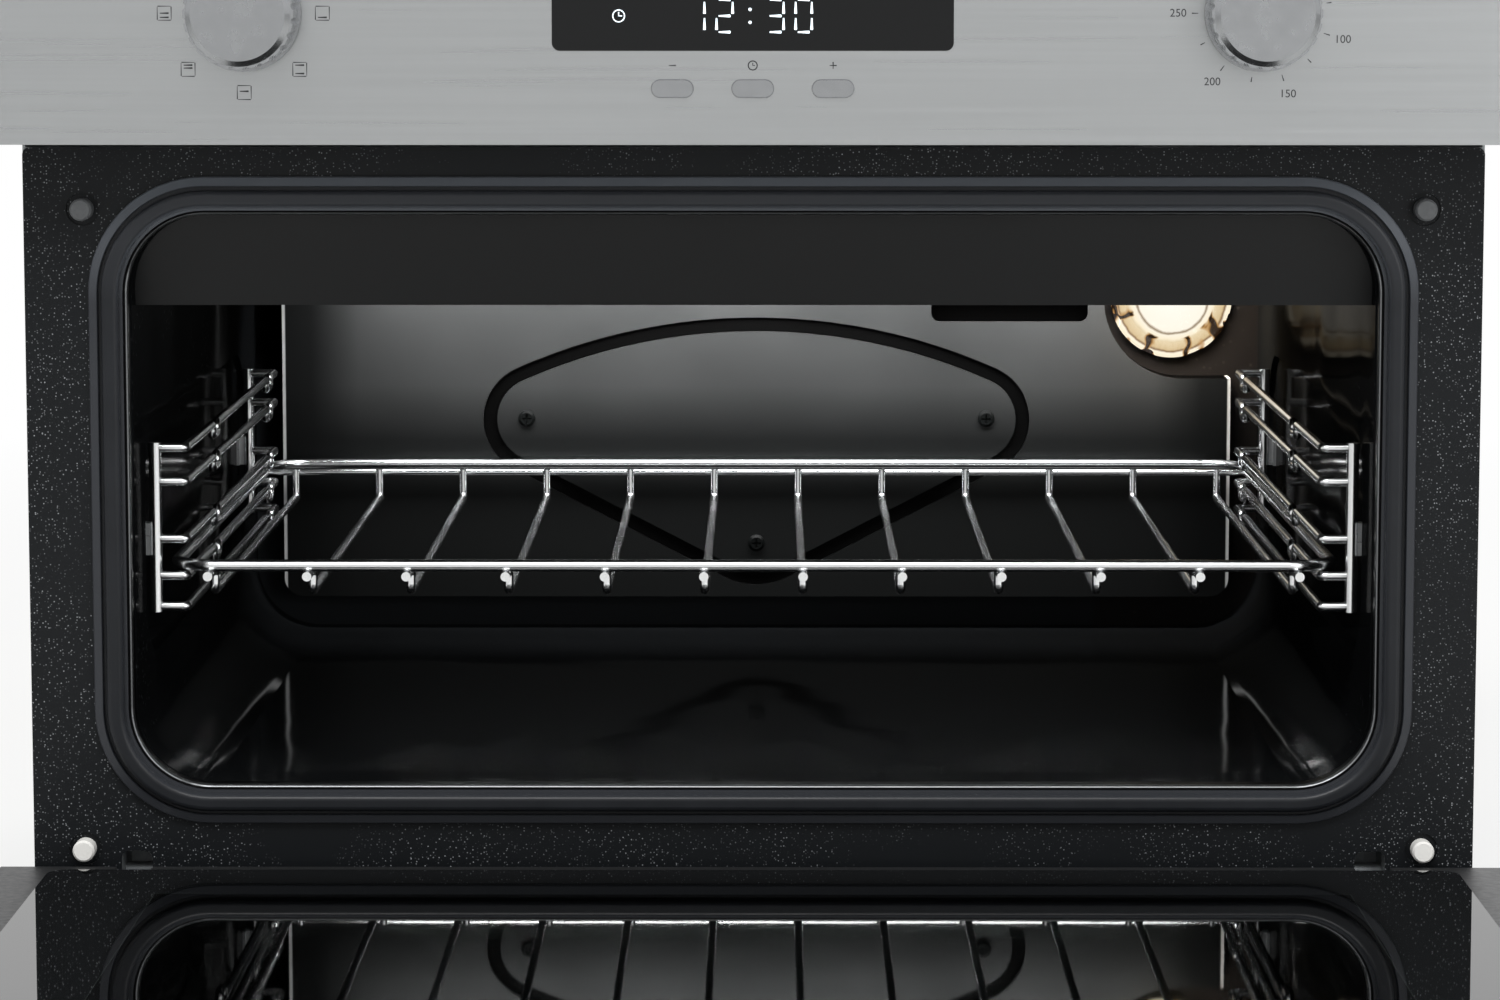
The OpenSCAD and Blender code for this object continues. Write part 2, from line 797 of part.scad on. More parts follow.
module blower_motor() {
    x0 = fan_half + 18;
    color("#8b8378") difference() {
        union() {
            block([x0, fan_y - 26, fan_z - 26], [x0 + 20, fan_y + 26, fan_z + 20]);
            block([x0 - 6, fan_y - 15, fan_z - 34], [x0 + 26, fan_y + 15, fan_z - 24]);
            pin_x(x0 - 6, fan_y, fan_z, 32, 8);
            for (s = [-1, 1]) pin_x(fan_half + 9, fan_y + 21 * s, fan_z + 14, x0 - fan_half - 9, 2.5);
        }
        pin_x(x0 - 10, fan_y, fan_z, 40, shaft_r + running_gap);
    }
}

// Cross-flow rotor: curved blades between three discs
module blower_rotor() {
    blade_r = 7;
    color("#b9bcbe") {
        along_x(-fan_half, 2 * fan_half) for (i = [0 : blade_count - 1])
            translate([fan_y, fan_z]) rotate(i * 360 / blade_count) intersection() {
                translate([fan_r - 3.6, -blade_r + 1.2]) difference() {
                    circle(r = blade_r);
                    circle(r = blade_r - 0.7);
                }
                translate([fan_r - 7, -1]) square([6.8, 6]);
            }
        for (x = [-fan_half - 1, -0.5, fan_half]) pin_x(x, fan_y, fan_z, 1, fan_r);
        pin_x(-fan_half - 13.8, fan_y, fan_z, 2 * fan_half + 56, shaft_r);
    }
}

// Flat duct that leads the cooling air forward to the gap above the door
module duct_plan(e) {
    near = front_y + 17;
    polygon([
        [-89 + e, 43], [89 - e, 43], [89 - e, -60], [150 - e, near], [-150 + e, near], [-89 + e, -60]
    ]);
}

module air_duct() {
    color(zinc) difference() {
        along_z(frame_top, duct_top - frame_top) duct_plan(0);
        along_z(frame_top - 1, duct_top - frame_top) intersection() {
            duct_plan(1.2);
            translate([-200, front_y]) square([400, 400]);
        }
        block([-148, front_y, frame_top - 1], [148, front_y + 18, duct_top - 1]);
        block([-87.8, 40, frame_top - 1], [87.8, 50, duct_top - 1]);
    }
}

module terminal_block() {
    color("#e6e2d8") {
        block([gland_x - 34, 196, frame_top], [gland_x + 34, 224, frame_top + 12]);
        for (i = [0 : 5]) block([gland_x - 31 + 12 * i, 196, frame_top + 12],
            [gland_x - 29 + 12 * i, 224, frame_top + 22]);
        for (i = [0 : 4]) translate([gland_x - 24 + 12 * i, 204, frame_top + 12])
            pan_head(3.4, 3);
    }
}

// Mains cable entry in the back cover
module cable_gland() {
    color("#2b2b2b") difference() {
        union() {
            pin_y(gland_x, back_y - 10, gland_z, 16, 8);
            pin_y(gland_x, back_y, gland_z, 3, 12);
            pin_y(gland_x, back_y + 3, gland_z, 9, 10);
            translate([gland_x, back_y - 7, gland_z]) rotate([-90, 0, 0])
                cylinder(r = 12, h = 6, $fn = 6);
        }
        pin_y(gland_x, back_y - 20, gland_z, 40, 5);
    }
}

// Snap-disc thermostat that stops the heaters if the case overheats
module safety_cutout() {
    color("#4a3a30") translate([-150, 150, frame_top]) {
        cylinder(r = 13, h = 1);
        cylinder(r = 8, h = 12);
        for (x = [-1, 1]) translate([x * 11 - 3, -3, 10]) cube([6, 6, 1]);
        for (x = [-1, 1]) translate([x * 7 - 2, -3, 10]) cube([4, 6, 1]);
    }
}

// ---------- fascia and controls ----------

module fascia() {
    color(steel) difference() {
        union() {
            along_y(door_front_y, fascia_t) translate([0, fascia_z]) round_rect(door_w, fascia_h, 3);
            along_y(fascia_back_y, 29) translate([0, fascia_z]) difference() {
                round_rect(door_w, fascia_h, 3);
                round_rect(door_w - 2 * fascia_t, fascia_h - 2 * fascia_t, 2);
            }
            for (x = [-240, 240], z = [376, 436])
                pin_y(x, fascia_back_y, z, bracket_y - fascia_back_y, 4);
        }
        along_y(door_front_y - 1, 4) {
            translate([0, window_z]) round_rect(window_w, window_h, 3);
            for (i = [-1 : 1]) translate([i * button_pitch, button_z]) stadium(16, 7);
            for (x = [-knob_x, knob_x]) translate([x, knob_z]) circle(r = 4.5);
        }
        // Air outlets in the bottom edge
        for (s = [-1, 1]) along_z(fascia_bottom - 1, 4) translate([s * 148, front_y - 20])
            slot_row(6, 40, 32, 6);
    }
}

module display_window() {
    color("#101214") {
        along_y(door_front_y, fascia_t) translate([0, window_z])
            round_rect(window_w - 0.4, window_h - 0.4, 2.8);
        along_y(fascia_back_y, 1.4) translate([0, window_z])
            round_rect(window_w + 8, window_h + 8, 3);
    }
}

module control_bracket() {
    color(zinc) difference() {
        union() {
            block([-side_x + 2, bracket_y, 364], [side_x - 2, bracket_y + 1.2, 444]);
            block([-side_x + 20, bracket_y, 442.8], [side_x - 20, bracket_y + 14, 444]);
            both_sides() block([side_x - 2.2, bracket_y, 370], [side_x - 1, front_y + 20, 440]);
        }
        for (x = [-knob_x, knob_x]) pin_y(x, bracket_y - 1, knob_z, 5, 6);
        along_y(bracket_y - 1, 5) translate([0, 404]) round_rect(120, 50, 4);
        for (x = [-240, 240], z = [376, 436]) pin_y(x, bracket_y - 1, z, 5, 1.6);
    }
}

// Clock board: display, three push switches and four spacers to the bracket
module timer_module() {
    board_y = bracket_y - 7;
    color("#2f5a3a") {
        block([-84, board_y, 367], [84, board_y + 1.6, 441]);
        block([-70, board_y - 14, window_z - 18], [70, board_y, window_z + 18]);
        for (i = [-1 : 1]) {
            block([i * button_pitch - 4, board_y - 4, button_z - 4],
                [i * button_pitch + 4, board_y, button_z + 4]);
        }
        for (x = [-78, 78], z = [372, 436]) pin_y(x, board_y + 1.6, z, 5.4, 3);
    }
}

module rotary_body(w, depth) {
    difference() {
        union() {
            block([-w / 2, bracket_y + 1.2, -w / 2], [w / 2, bracket_y + 1.2 + depth, w / 2]);
            pin_y(0, bracket_y - 6, 0, 8, 5.6);
            for (x = [-w / 3, 0, w / 3]) block([x - 1.5, bracket_y + 1.2 + depth, -3],
                [x + 1.5, bracket_y + 9 + depth, 3]);
        }
        pin_y(0, bracket_y - 8, 0, 20, shaft_r + running_gap);
    }
}

module selector_switch() {
    color("#d9d6cc") translate([-knob_x, 0, knob_z]) rotary_body(42, 36);
}

module thermostat() {
    color("#d9d6cc") translate([knob_x, 0, knob_z]) rotary_body(36, thermostat_d);
}

// Spindle with a flat at its front end
module control_shaft(x) {
    tip_y = door_front_y - 16;
    color(steel) difference() {
        pin_y(x, tip_y, knob_z, bracket_y + 9 - tip_y, shaft_r);
        block([x - 5, tip_y - 1, knob_z + 2], [x + 5, tip_y + 12, knob_z + 5]);
    }
}

module knob_section() {
    difference() {
        circle(r = knob_r);
        for (i = [0 : 23]) rotate(i * 15 + 7.5) translate([knob_r + 0.5, 0]) circle(r = 1.3);
    }
}

// Skirted knob with a milled rim, a domed face and a pointer groove
module control_knob(x) {
    back = door_front_y - 0.6;
    color("#c4c6c8") translate([x, back, knob_z]) rotate([90, 0, 0]) difference() {
        union() {
            cylinder(r = knob_r + 1.2, h = 2.4);
            translate([0, 0, 2.4]) linear_extrude(15.6) knob_section();
            translate([0, 0, 18]) cylinder(r1 = knob_r - 1, r2 = knob_r - 3, h = 2);
        }
        difference() {
            translate([0, 0, -1]) cylinder(r = knob_r - 3, h = 16);
            cylinder(r = 6, h = 20);
        }
        difference() {
            translate([0, 0, -1]) cylinder(r = shaft_r, h = 16.4);
            translate([-5, 2, 3.4]) cube([10, 4, 14]);
        }
        translate([-0.8, knob_r - 12, 19.2]) cube([1.6, 14, 3]);
    }
}

module function_shaft() {
    control_shaft(-knob_x);
}

module temperature_shaft() {
    control_shaft(knob_x);
}

module function_knob() {
    control_knob(-knob_x);
}

module temperature_knob() {
    control_knob(knob_x);
}

module push_button(i) {
    color("#c4c6c8") {
        along_y(door_front_y - 1.6, 3.1) translate([i * button_pitch, button_z]) stadium(15.3, 6.3);
        along_y(fascia_back_y + 0.3, 1.5) translate([i * button_pitch, button_z]) stadium(19, 10);
        pin_y(i * button_pitch, fascia_back_y + 1.8, button_z, 10.3, 2.2);
    }
}

module button_minus() {
    push_button(-1);
}

module button_mode() {
    push_button(0);
}

module button_plus() {
    push_button(1);
}

// ---------- hinges and door ----------

// Pocket behind the frame that the hinge arm hooks into
module hinge_receivers() {
    color(zinc) both_sides() {
        for (x = [hinge_x - 7.2, hinge_x + 6])
            block([x, front_y + sheet, 46], [x + 1.2, front_y + 29, 82]);
        block([hinge_x - 6, front_y + 27.8, 46], [hinge_x + 6, front_y + 29, 82]);
        pin_x(hinge_x - 6, front_y + 14, 71, 12, 3);
    }
}

module hinge_arms() {
    color(steel) both_sides() along_x(hinge_x - 1.5, 3) difference() {
        union() {
            translate([hinge_y, hinge_z]) circle(r = 7);
            translate([hinge_y, hinge_z - 6]) square([front_y + 25 - hinge_y, 13]);
        }
        translate([hinge_y, hinge_z]) circle(r = shaft_r + running_gap);
        translate([front_y + 14, 71]) circle(r = 3);
        translate([front_y + 11, 71]) square([6, 10]);
    }
}

module hinge_cases() {
    color(steel) on_door() both_sides() {
        for (x = [hinge_x - 7, hinge_x + 5.5]) along_x(x, 1.5) difference() {
            translate([hinge_y - 13, hinge_z - 15]) square([20, 105]);
            translate([hinge_y, hinge_z]) circle(r = shaft_r);
            translate([hinge_y - 4, hinge_z + 50]) circle(r = 4);
        }
        block([hinge_x - 5.5, hinge_y - 13, hinge_z - 15],
            [hinge_x + 5.5, hinge_y - 11.5, hinge_z + 90]);
    }
}

// Hinge pins with a sleeve on each side of the arm
module hinge_pins() {
    color(chrome) on_door() both_sides() {
        pin_x(hinge_x - 8, hinge_y, hinge_z, 16, shaft_r);
        pin_x(hinge_x - 5.5, hinge_y, hinge_z, 3.6, 5);
        pin_x(hinge_x + 1.9, hinge_y, hinge_z, 3.6, 5);
    }
}

module door_outer_glass() {
    color("#0d0f11") on_door() along_y(door_front_y, glass) difference() {
        translate([0, door_z]) round_rect(door_w, door_h, 4);
        for (x = [-post_x, post_x]) translate([x, handle_z]) circle(r = 3.2);
    }
}

module door_middle_glass() {
    color("#3a4040") on_door() along_y(hinge_y - 2, 3) translate([0, 214])
        round_rect(452, 246, 3);
}

module door_inner_glass() {
    color("#14181a") on_door() along_y(door_back_y, glass) translate([0, 212.75])
        round_rect(538, 277.5, 8);
}

// Frame between the panes: two side rails, a top rail and a bottom rail with hinge gaps
module door_rails() {
    near = door_front_y + glass;
    color("#1b1c1e") on_door() {
        both_sides() {
            along_z(door_bottom + 2, door_h - 4) difference() {
                translate([270, near]) square([22, door_back_y - near]);
                translate([271.6, near + 1.6]) square([18.8, door_back_y - near - 3.2]);
            }
            along_z(85.5, 266) translate([258, door_back_y - 2]) square([12, 2]);
            along_z(92, 244) translate([221, hinge_y + 1]) square([8, 2]);
            along_z(92, 222) translate([227, near]) square([2, hinge_y + 3 - near]);
        }
        // Top rail with air slots
        difference() {
            block([-270, near, 338], [270, door_back_y, 351.5]);
            block([-268, near + 2, 337], [268, door_back_y - 2, 349.5]);
            along_z(340, 20) translate([0, (near + door_back_y) / 2]) slot_row(11, 46, 36, 6);
        }
        // Bottom rail
        for (span = [[-hinge_x + 7, hinge_x - 7], [-270, -hinge_x - 7], [hinge_x + 7, 270]])
            difference() {
                block([span[0], near, door_bottom + 2], [span[1], door_back_y, 85]);
                block([span[0] - 1, near + 2, door_bottom + 4], [span[1] + 1, door_back_y - 2, 83]);
            }
    }
}

module door_handle() {
    color(steel) on_door() translate([0, handle_y, handle_z]) {
        pin_x(-handle_half + 2, 0, 0, 2 * handle_half - 4, handle_r);
        both_sides() translate([handle_half - 2, 0, 0]) rotate([0, 90, 0])
            cylinder(r1 = handle_r, r2 = handle_r - 2, h = 2);
    }
}

// Posts that carry the handle, bolted through the outer pane
module handle_posts() {
    color(steel) on_door() difference() {
        for (x = [-post_x, post_x]) {
            pin_y(x, handle_y, handle_z, door_front_y - handle_y, 5.5);
            pin_y(x, door_front_y, handle_z, 4.5, 3);
            pin_y(x, door_front_y + glass, handle_z, 2.4, 6);
        }
        pin_x(-handle_half, handle_y, handle_z, 2 * handle_half, handle_r);
    }
}

// ---------- wire shelf ----------

module wire_shelf() {
    ring = [
        [0, shelf_front_y, shelf_z], [shelf_x, shelf_front_y, shelf_z],
        [shelf_x, shelf_back_y, shelf_z], [0, shelf_back_y, shelf_z]
    ];
    under_z = shelf_z - shelf_r - wire_r + 0.4;
    front_y1 = shelf_front_y + 20;
    bar_r = 1.6;
    bar_y = shelf_back_y - 29;
    bar_z = shelf_z - shelf_r + bar_r;
    back_y1 = bar_y - bar_r - wire_r + 0.5;
    color(chrome) {
        both_sides() wire(ring, shelf_r, 18);
        // Second bar near the back, welded between the sides, that carries the wire ends
        translate([0, bar_y, bar_z]) rotate([0, 90, 0])
            cylinder(r = bar_r, h = 2 * shelf_x - 1, center = true);
        for (i = [0 : shelf_wires - 1]) {
            x = (i - (shelf_wires - 1) / 2) * shelf_pitch;
            wire([
                [x, shelf_front_y - 5, under_z], [x, front_y1, under_z], [x, front_y1, wire_z],
                [x, back_y1, wire_z], [x, back_y1, bar_z + bar_r]
            ], wire_r, 2.6);
        }
    }
}

front_frame();
cavity_liner();
cavity_back_wall();
rear_panel();
rear_panel_screws();
front_header();
door_gasket();
door_bumpers();
grill_element();
grill_supports();
bottom_element();
lamp_holder();
lamp_bulb();
lamp_lens();
rack_left();
rack_right();
rack_clips();
insulation_blanket();
insulation_back();
vent_chimney();
thermostat_probe();
base_plate();
side_panel_left();
side_panel_right();
component_tray();
top_cover();
back_cover();
casing_screws();
blower_housing();
blower_motor();
blower_rotor();
air_duct();
terminal_block();
cable_gland();
safety_cutout();
fascia();
display_window();
control_bracket();
timer_module();
selector_switch();
thermostat();
function_shaft();
function_knob();
temperature_shaft();
temperature_knob();
button_minus();
button_mode();
button_plus();
lower_trim();
hinge_receivers();
hinge_arms();
hinge_cases();
hinge_pins();
door_outer_glass();
door_middle_glass();
door_inner_glass();
door_rails();
door_handle();
handle_posts();
wire_shelf();
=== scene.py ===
# %% [markdown]
# # A compact built-in oven
# The model that this lesson dresses is already built: sheet-metal casing, enamelled
# cavity, racks, shelf, door, controls and fan, each a separate piece at its real size.
# The lesson gives every piece its finish, adds what is too fine for the solid model,
# such as dial marks and clock digits, and lights and frames the picture.
# All lengths are in metres, and places are worked out from the loaded pieces.

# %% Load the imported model
import math

import bmesh
import bpy
from mathutils import Matrix, Vector


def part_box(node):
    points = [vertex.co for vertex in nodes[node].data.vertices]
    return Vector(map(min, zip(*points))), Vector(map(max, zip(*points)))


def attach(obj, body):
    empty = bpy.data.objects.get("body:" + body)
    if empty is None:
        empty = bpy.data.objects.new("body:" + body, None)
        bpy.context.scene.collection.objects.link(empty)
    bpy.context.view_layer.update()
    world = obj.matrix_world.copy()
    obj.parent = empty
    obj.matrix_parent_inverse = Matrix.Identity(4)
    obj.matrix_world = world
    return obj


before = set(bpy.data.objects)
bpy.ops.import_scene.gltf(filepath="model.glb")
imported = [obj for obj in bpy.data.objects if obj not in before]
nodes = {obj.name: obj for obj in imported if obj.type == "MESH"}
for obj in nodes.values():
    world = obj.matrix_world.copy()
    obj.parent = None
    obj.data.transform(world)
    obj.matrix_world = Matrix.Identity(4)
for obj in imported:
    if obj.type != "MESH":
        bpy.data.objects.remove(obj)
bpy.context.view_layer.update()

MM = 0.001

# %% [markdown]
# ## The camera
# The eye stands 1.8 m before the front frame, near the height of the oven's top, and
# looks slightly down. A long lens at that distance keeps the cavity's perspective calm.
# The front frame nearly fills the picture, which is 579 mm wide at the frame's face.

# %% Place the camera
face_low, face_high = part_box("front_frame")
EYE_DISTANCE = 1.8
EYE_HEIGHT = 0.427
EYE_SIDE = 6.6 * MM
AIM_HEIGHT = 0.2186
AIM_SIDE = -1.2 * MM
SEEN_WIDTH = 0.579
SENSOR = 36.0

camera = bpy.data.objects.new("camera", bpy.data.cameras.new("camera"))
bpy.context.scene.collection.objects.link(camera)
bpy.context.scene.camera = camera
eye = Vector((EYE_SIDE, face_low.y - EYE_DISTANCE, EYE_HEIGHT))
aim = Vector((AIM_SIDE, face_low.y, AIM_HEIGHT))
camera.location = eye
camera.rotation_euler = (aim - eye).to_track_quat("-Z", "Y").to_euler()
camera.data.sensor_width = SENSOR
camera.data.lens = SENSOR * (aim - eye).length / SEEN_WIDTH
tilt = math.degrees(camera.rotation_euler.x) - 90
print("lens", round(camera.data.lens, 1), "mm, tilt", round(tilt, 2))

# %% [markdown]
# ## Helpers for materials
# Colours are written as sRGB hex values, the way a colour picker shows them, and one
# function turns them into the linear values that the renderer works in. A second adds a
# shader node with its settings and links, so each recipe reads as a list. A third starts
# a material and hands over what a recipe links to, and the last puts it on pieces.

# %% Colour and node helpers
def linear(code):
    channels = [int(code[i:i + 2], 16) / 255 for i in (1, 3, 5)]
    bent = [c / 12.92 if c <= 0.04045 else ((c + 0.055) / 1.055) ** 2.4 for c in channels]
    return (*bent, 1.0)


def add(tree, kind, inputs, **settings):
    made = tree.nodes.new(kind)
    for name, value in settings.items():
        setattr(made, name, value)
    for name, value in inputs.items():
        socket = made.inputs[name]
        if isinstance(value, bpy.types.NodeSocket):
            tree.links.new(value, socket)
        else:
            socket.default_value = value
    return made


def start(name, **sockets):
    material = bpy.data.materials.new(name)
    material.use_nodes = True
    tree = material.node_tree
    shader = tree.nodes["Principled BSDF"]
    for socket, value in sockets.items():
        shader.inputs[socket.replace("_", " ")].default_value = value
    coords = add(tree, "ShaderNodeTexCoord", {}).outputs["Object"]
    return material, tree, shader, coords


def paint(material, *names):
    for name in names:
        for slot in nodes[name].material_slots:
            slot.material = material


print("mid grey", [round(c, 3) for c in linear("#808080")[:3]])

# %% [markdown]
# ## Speckled enamel
# Vitreous enamel is glass fused to steel. The black coat on ovens has pale specks, under
# a millimetre across, where grains of lighter frit have melted in. A Voronoi pattern gives
# one round dot per cell, the cell's random colour keeps only some of them, and a slow
# noise gathers them in clouds. Glass has an IOR near 1.5; the surface is smooth with a
# faint orange-peel ripple, and a slower sway in the sheet bends what it mirrors.
# The recipe takes the specks' pitch and the sway's height in millimetres.

# %% Enamel recipe
PEEL_PITCH = 9 * MM
PEEL_HEIGHT = 0.08 * MM
SWAY_PITCH = 6 * PEEL_PITCH
CLOUD_PITCH = 58.8 * MM


def enamel(name, base, speck, roughness, specular, kept, pitch, wave=0.3):
    material, tree, shader, coords = start(
        name, Roughness=roughness, IOR=1.5, Specular_IOR_Level=specular)
    cells = add(tree, "ShaderNodeTexVoronoi", {"Vector": coords, "Scale": 1 / (pitch * MM)})
    dot = add(tree, "ShaderNodeMapRange", {
        "Value": cells.outputs["Distance"], "From Min": 0.3, "From Max": 0.14})
    pick = add(tree, "ShaderNodeSeparateColor", {"Color": cells.outputs["Color"]})
    chosen = add(tree, "ShaderNodeMapRange", {
        "Value": pick.outputs["Red"], "From Min": 1 - kept, "From Max": 1.0})
    clouds = add(tree, "ShaderNodeTexNoise", {
        "Vector": coords, "Scale": 1 / CLOUD_PITCH, "Detail": 3.0})
    dense = add(tree, "ShaderNodeMapRange", {
        "Value": clouds.outputs["Fac"], "From Min": 0.38, "From Max": 0.6})
    shown = add(tree, "ShaderNodeMath", {0: dot.outputs["Result"], 1: chosen.outputs["Result"]},
                operation="MULTIPLY")
    amount = add(tree, "ShaderNodeMath", {0: shown.outputs[0], 1: dense.outputs["Result"]},
                 operation="MULTIPLY")
    colour = add(tree, "ShaderNodeMix", {
        "Factor": amount.outputs[0], "A": linear(base), "B": linear(speck)}, data_type="RGBA")
    tree.links.new(colour.outputs["Result"], shader.inputs["Base Color"])
    peel = add(tree, "ShaderNodeTexNoise", {
        "Vector": coords, "Scale": 1 / PEEL_PITCH, "Detail": 1.0})
    ripple = add(tree, "ShaderNodeBump", {
        "Height": peel.outputs["Fac"], "Strength": 0.2, "Distance": PEEL_HEIGHT})
    slow = add(tree, "ShaderNodeTexNoise", {
        "Vector": coords, "Scale": 1 / SWAY_PITCH, "Detail": 0.0})
    sway = add(tree, "ShaderNodeBump", {
        "Height": slow.outputs["Fac"], "Strength": 0.5, "Distance": wave * MM,
        "Normal": ripple.outputs["Normal"]})
    tree.links.new(sway.outputs["Normal"], shader.inputs["Normal"])
    return material, tree, shader, coords, sway


print("enamel ripples every", round(PEEL_PITCH / MM), "mm and sways every", round(SWAY_PITCH / MM))

# %% [markdown]
# ## How far from the opening
# The wear and painted shade on the front frame and the painted highlights on the gasket
# both follow the rounded opening.
# Instead of a painted mask, a few Math nodes work out how far each point lies outside a
# rounded rectangle, the way a draughtsman would offset it. The rectangle comes from the
# gasket's own box, less the gasket's width.

# %% Distance from the opening
GASKET_REACH = 14.8 * MM
OPENING_RADIUS = 30 * MM


def from_opening(tree, coords):
    low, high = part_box("door_gasket")
    place = add(tree, "ShaderNodeSeparateXYZ", {"Vector": coords})
    beyond = []
    for axis in "XZ":
        centre = (getattr(low, axis.lower()) + getattr(high, axis.lower())) / 2
        half = getattr(high, axis.lower()) - centre - GASKET_REACH
        shifted = add(tree, "ShaderNodeMath", {0: place.outputs[axis], 1: centre},
                      operation="SUBTRACT")
        size = add(tree, "ShaderNodeMath", {0: shifted.outputs[0]}, operation="ABSOLUTE")
        past = add(tree, "ShaderNodeMath", {0: size.outputs[0], 1: half - OPENING_RADIUS},
                   operation="SUBTRACT")
        beyond.append(add(tree, "ShaderNodeMath", {0: past.outputs[0], 1: 0.0},
                          operation="MAXIMUM"))
    corner = add(tree, "ShaderNodeCombineXYZ", {
        "X": beyond[0].outputs[0], "Y": beyond[1].outputs[0]})
    reach = add(tree, "ShaderNodeVectorMath", {0: corner.outputs["Vector"]}, operation="LENGTH")
    return add(tree, "ShaderNodeMath", {0: reach.outputs["Value"], 1: OPENING_RADIUS},
               operation="SUBTRACT").outputs[0]


print("opening's corners have a radius of", round(OPENING_RADIUS / MM), "mm")

# %% [markdown]
# ## The front frame
# The frame's sheet rolls back into the opening. Under the gasket the roll lies in shade,
# and where shelves and dishes have scraped past, its edge is worn down to bright steel.
# So two masks lie on the speckled coat: one paints that shade black and dull, the other
# turns it to metal.

# %% Front frame
WORN_TO = 0.6 * MM
COATED_FROM = 1.0 * MM
SHADED_TO = 2.2 * MM
LIT_FROM = 2.8 * MM
SCRAPED_DEPTH = 1.9 * MM
SCRAPED_END = 2.4 * MM
FRAME_GLOSS = 0.13

frame_enamel, tree, shader, coords, sway = enamel(
    "speckled_black_enamel", "#151719", "#96999c", roughness=0.3, specular=FRAME_GLOSS,
    kept=0.72, pitch=1.1, wave=0.1)
outside = from_opening(tree, coords)
# Painted shade: the roll under the gasket's edge is black and dull.
shaded = add(tree, "ShaderNodeMapRange", {
    "Value": outside, "From Min": LIT_FROM, "From Max": SHADED_TO})
inner = add(tree, "ShaderNodeMapRange", {
    "Value": outside, "From Min": COATED_FROM, "From Max": WORN_TO})
place = add(tree, "ShaderNodeSeparateXYZ", {"Vector": coords})
front = add(tree, "ShaderNodeMapRange", {
    "Value": place.outputs["Y"], "From Min": face_low.y + SCRAPED_END,
    "From Max": face_low.y + SCRAPED_DEPTH})
worn = add(tree, "ShaderNodeMath", {0: inner.outputs["Result"], 1: front.outputs["Result"]},
           operation="MULTIPLY").outputs[0]
coat = shader.inputs["Base Color"].links[0].from_socket
painted_gap_shade = add(tree, "ShaderNodeMix", {
    "Factor": shaded.outputs["Result"], "A": coat, "B": linear("#060607")}, data_type="RGBA")
bared = add(tree, "ShaderNodeMix", {
    "Factor": worn, "A": painted_gap_shade.outputs["Result"], "B": linear("#8c8e90")}, data_type="RGBA")
tree.links.new(bared.outputs["Result"], shader.inputs["Base Color"])
tree.links.new(worn, shader.inputs["Metallic"])
matt = add(tree, "ShaderNodeMapRange", {
    "Value": shaded.outputs["Result"], "To Min": FRAME_GLOSS, "To Max": 0.02})
tree.links.new(matt.outputs["Result"], shader.inputs["Specular IOR Level"])
paint(frame_enamel, "front_frame")
print("frame worn to steel within", round(WORN_TO / MM, 1), "mm of the opening")

# %% [markdown]
# ## The wall behind the panel
# Little of this wall is seen: a strip under the rear panel, the field round the lamp, and
# darkness through the vapour slot. Its satin enamel is brown and a little glossy from just
# left of the lamp rightwards. Elsewhere it is grey low down and black higher up, a painted
# shade for the dark behind the panel and through the slot.

# %% Back wall
BROWNED_FROM = 9 * MM
BROWNED_FULL = 3 * MM
GREY_BELOW = 140 * MM
BLACK_ABOVE = 240 * MM
BROWNED_GLOSS = 0.05

back_enamel, tree, shader, coords, sway = enamel(
    "satin_back_enamel", "#100e0d", "#2a2825", roughness=0.42, specular=BROWNED_GLOSS,
    kept=0.3, pitch=3.2)
lens_low, lens_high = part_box("lamp_lens")
place = add(tree, "ShaderNodeSeparateXYZ", {"Vector": coords})
browned = add(tree, "ShaderNodeMapRange", {
    "Value": place.outputs["X"], "From Min": lens_low.x - BROWNED_FROM,
    "From Max": lens_low.x - BROWNED_FULL})
coat = shader.inputs["Base Color"].links[0].from_socket
# Painted shade: the wall turns from grey to black with height.
shade_by_height = add(tree, "ShaderNodeMapRange", {
    "Value": place.outputs["Z"], "From Min": GREY_BELOW, "From Max": BLACK_ABOVE})
plain = add(tree, "ShaderNodeMix", {
    "Factor": shade_by_height.outputs["Result"], "A": linear("#2c2e30"), "B": linear("#020202")},
    data_type="RGBA")
toned = add(tree, "ShaderNodeMix", {
    "Factor": browned.outputs["Result"], "A": plain.outputs["Result"], "B": coat},
    data_type="RGBA")
tree.links.new(toned.outputs["Result"], shader.inputs["Base Color"])
gloss = add(tree, "ShaderNodeMapRange", {
    "Value": browned.outputs["Result"], "To Max": BROWNED_GLOSS})
tree.links.new(gloss.outputs["Result"], shader.inputs["Specular IOR Level"])
paint(back_enamel, "cavity_back_wall")
print("back wall browned right of x =", round((lens_low.x - BROWNED_FROM) / MM), "mm")

# %% [markdown]
# ## The cavity's walls and floor
# The glossy coat mirrors the racks and the lamp. The pressed side walls are wavy and warp
# what they mirror, the flat floor less so, and the sway's strength follows the distance
# from the side. Baked-on fat has taken most of the gloss from the upright sides, from
# the walls above the racks, and from the front edge, where a mirror seen at a low angle
# would otherwise be far too bright.

# %% Cavity walls and floor
WAVY_FROM = 34 * MM
WAVY_FULL = 8 * MM
FAT_FROM = 12 * MM
FAT_FULL = 6 * MM
FRONT_FAT = 20 * MM
FRONT_CLEAN = 90 * MM
RACK_LEVEL = 212 * MM
ABOVE_RACKS = 228 * MM
WALL_GLOSS = 0.25
FAT_GLOSS = 0.0002

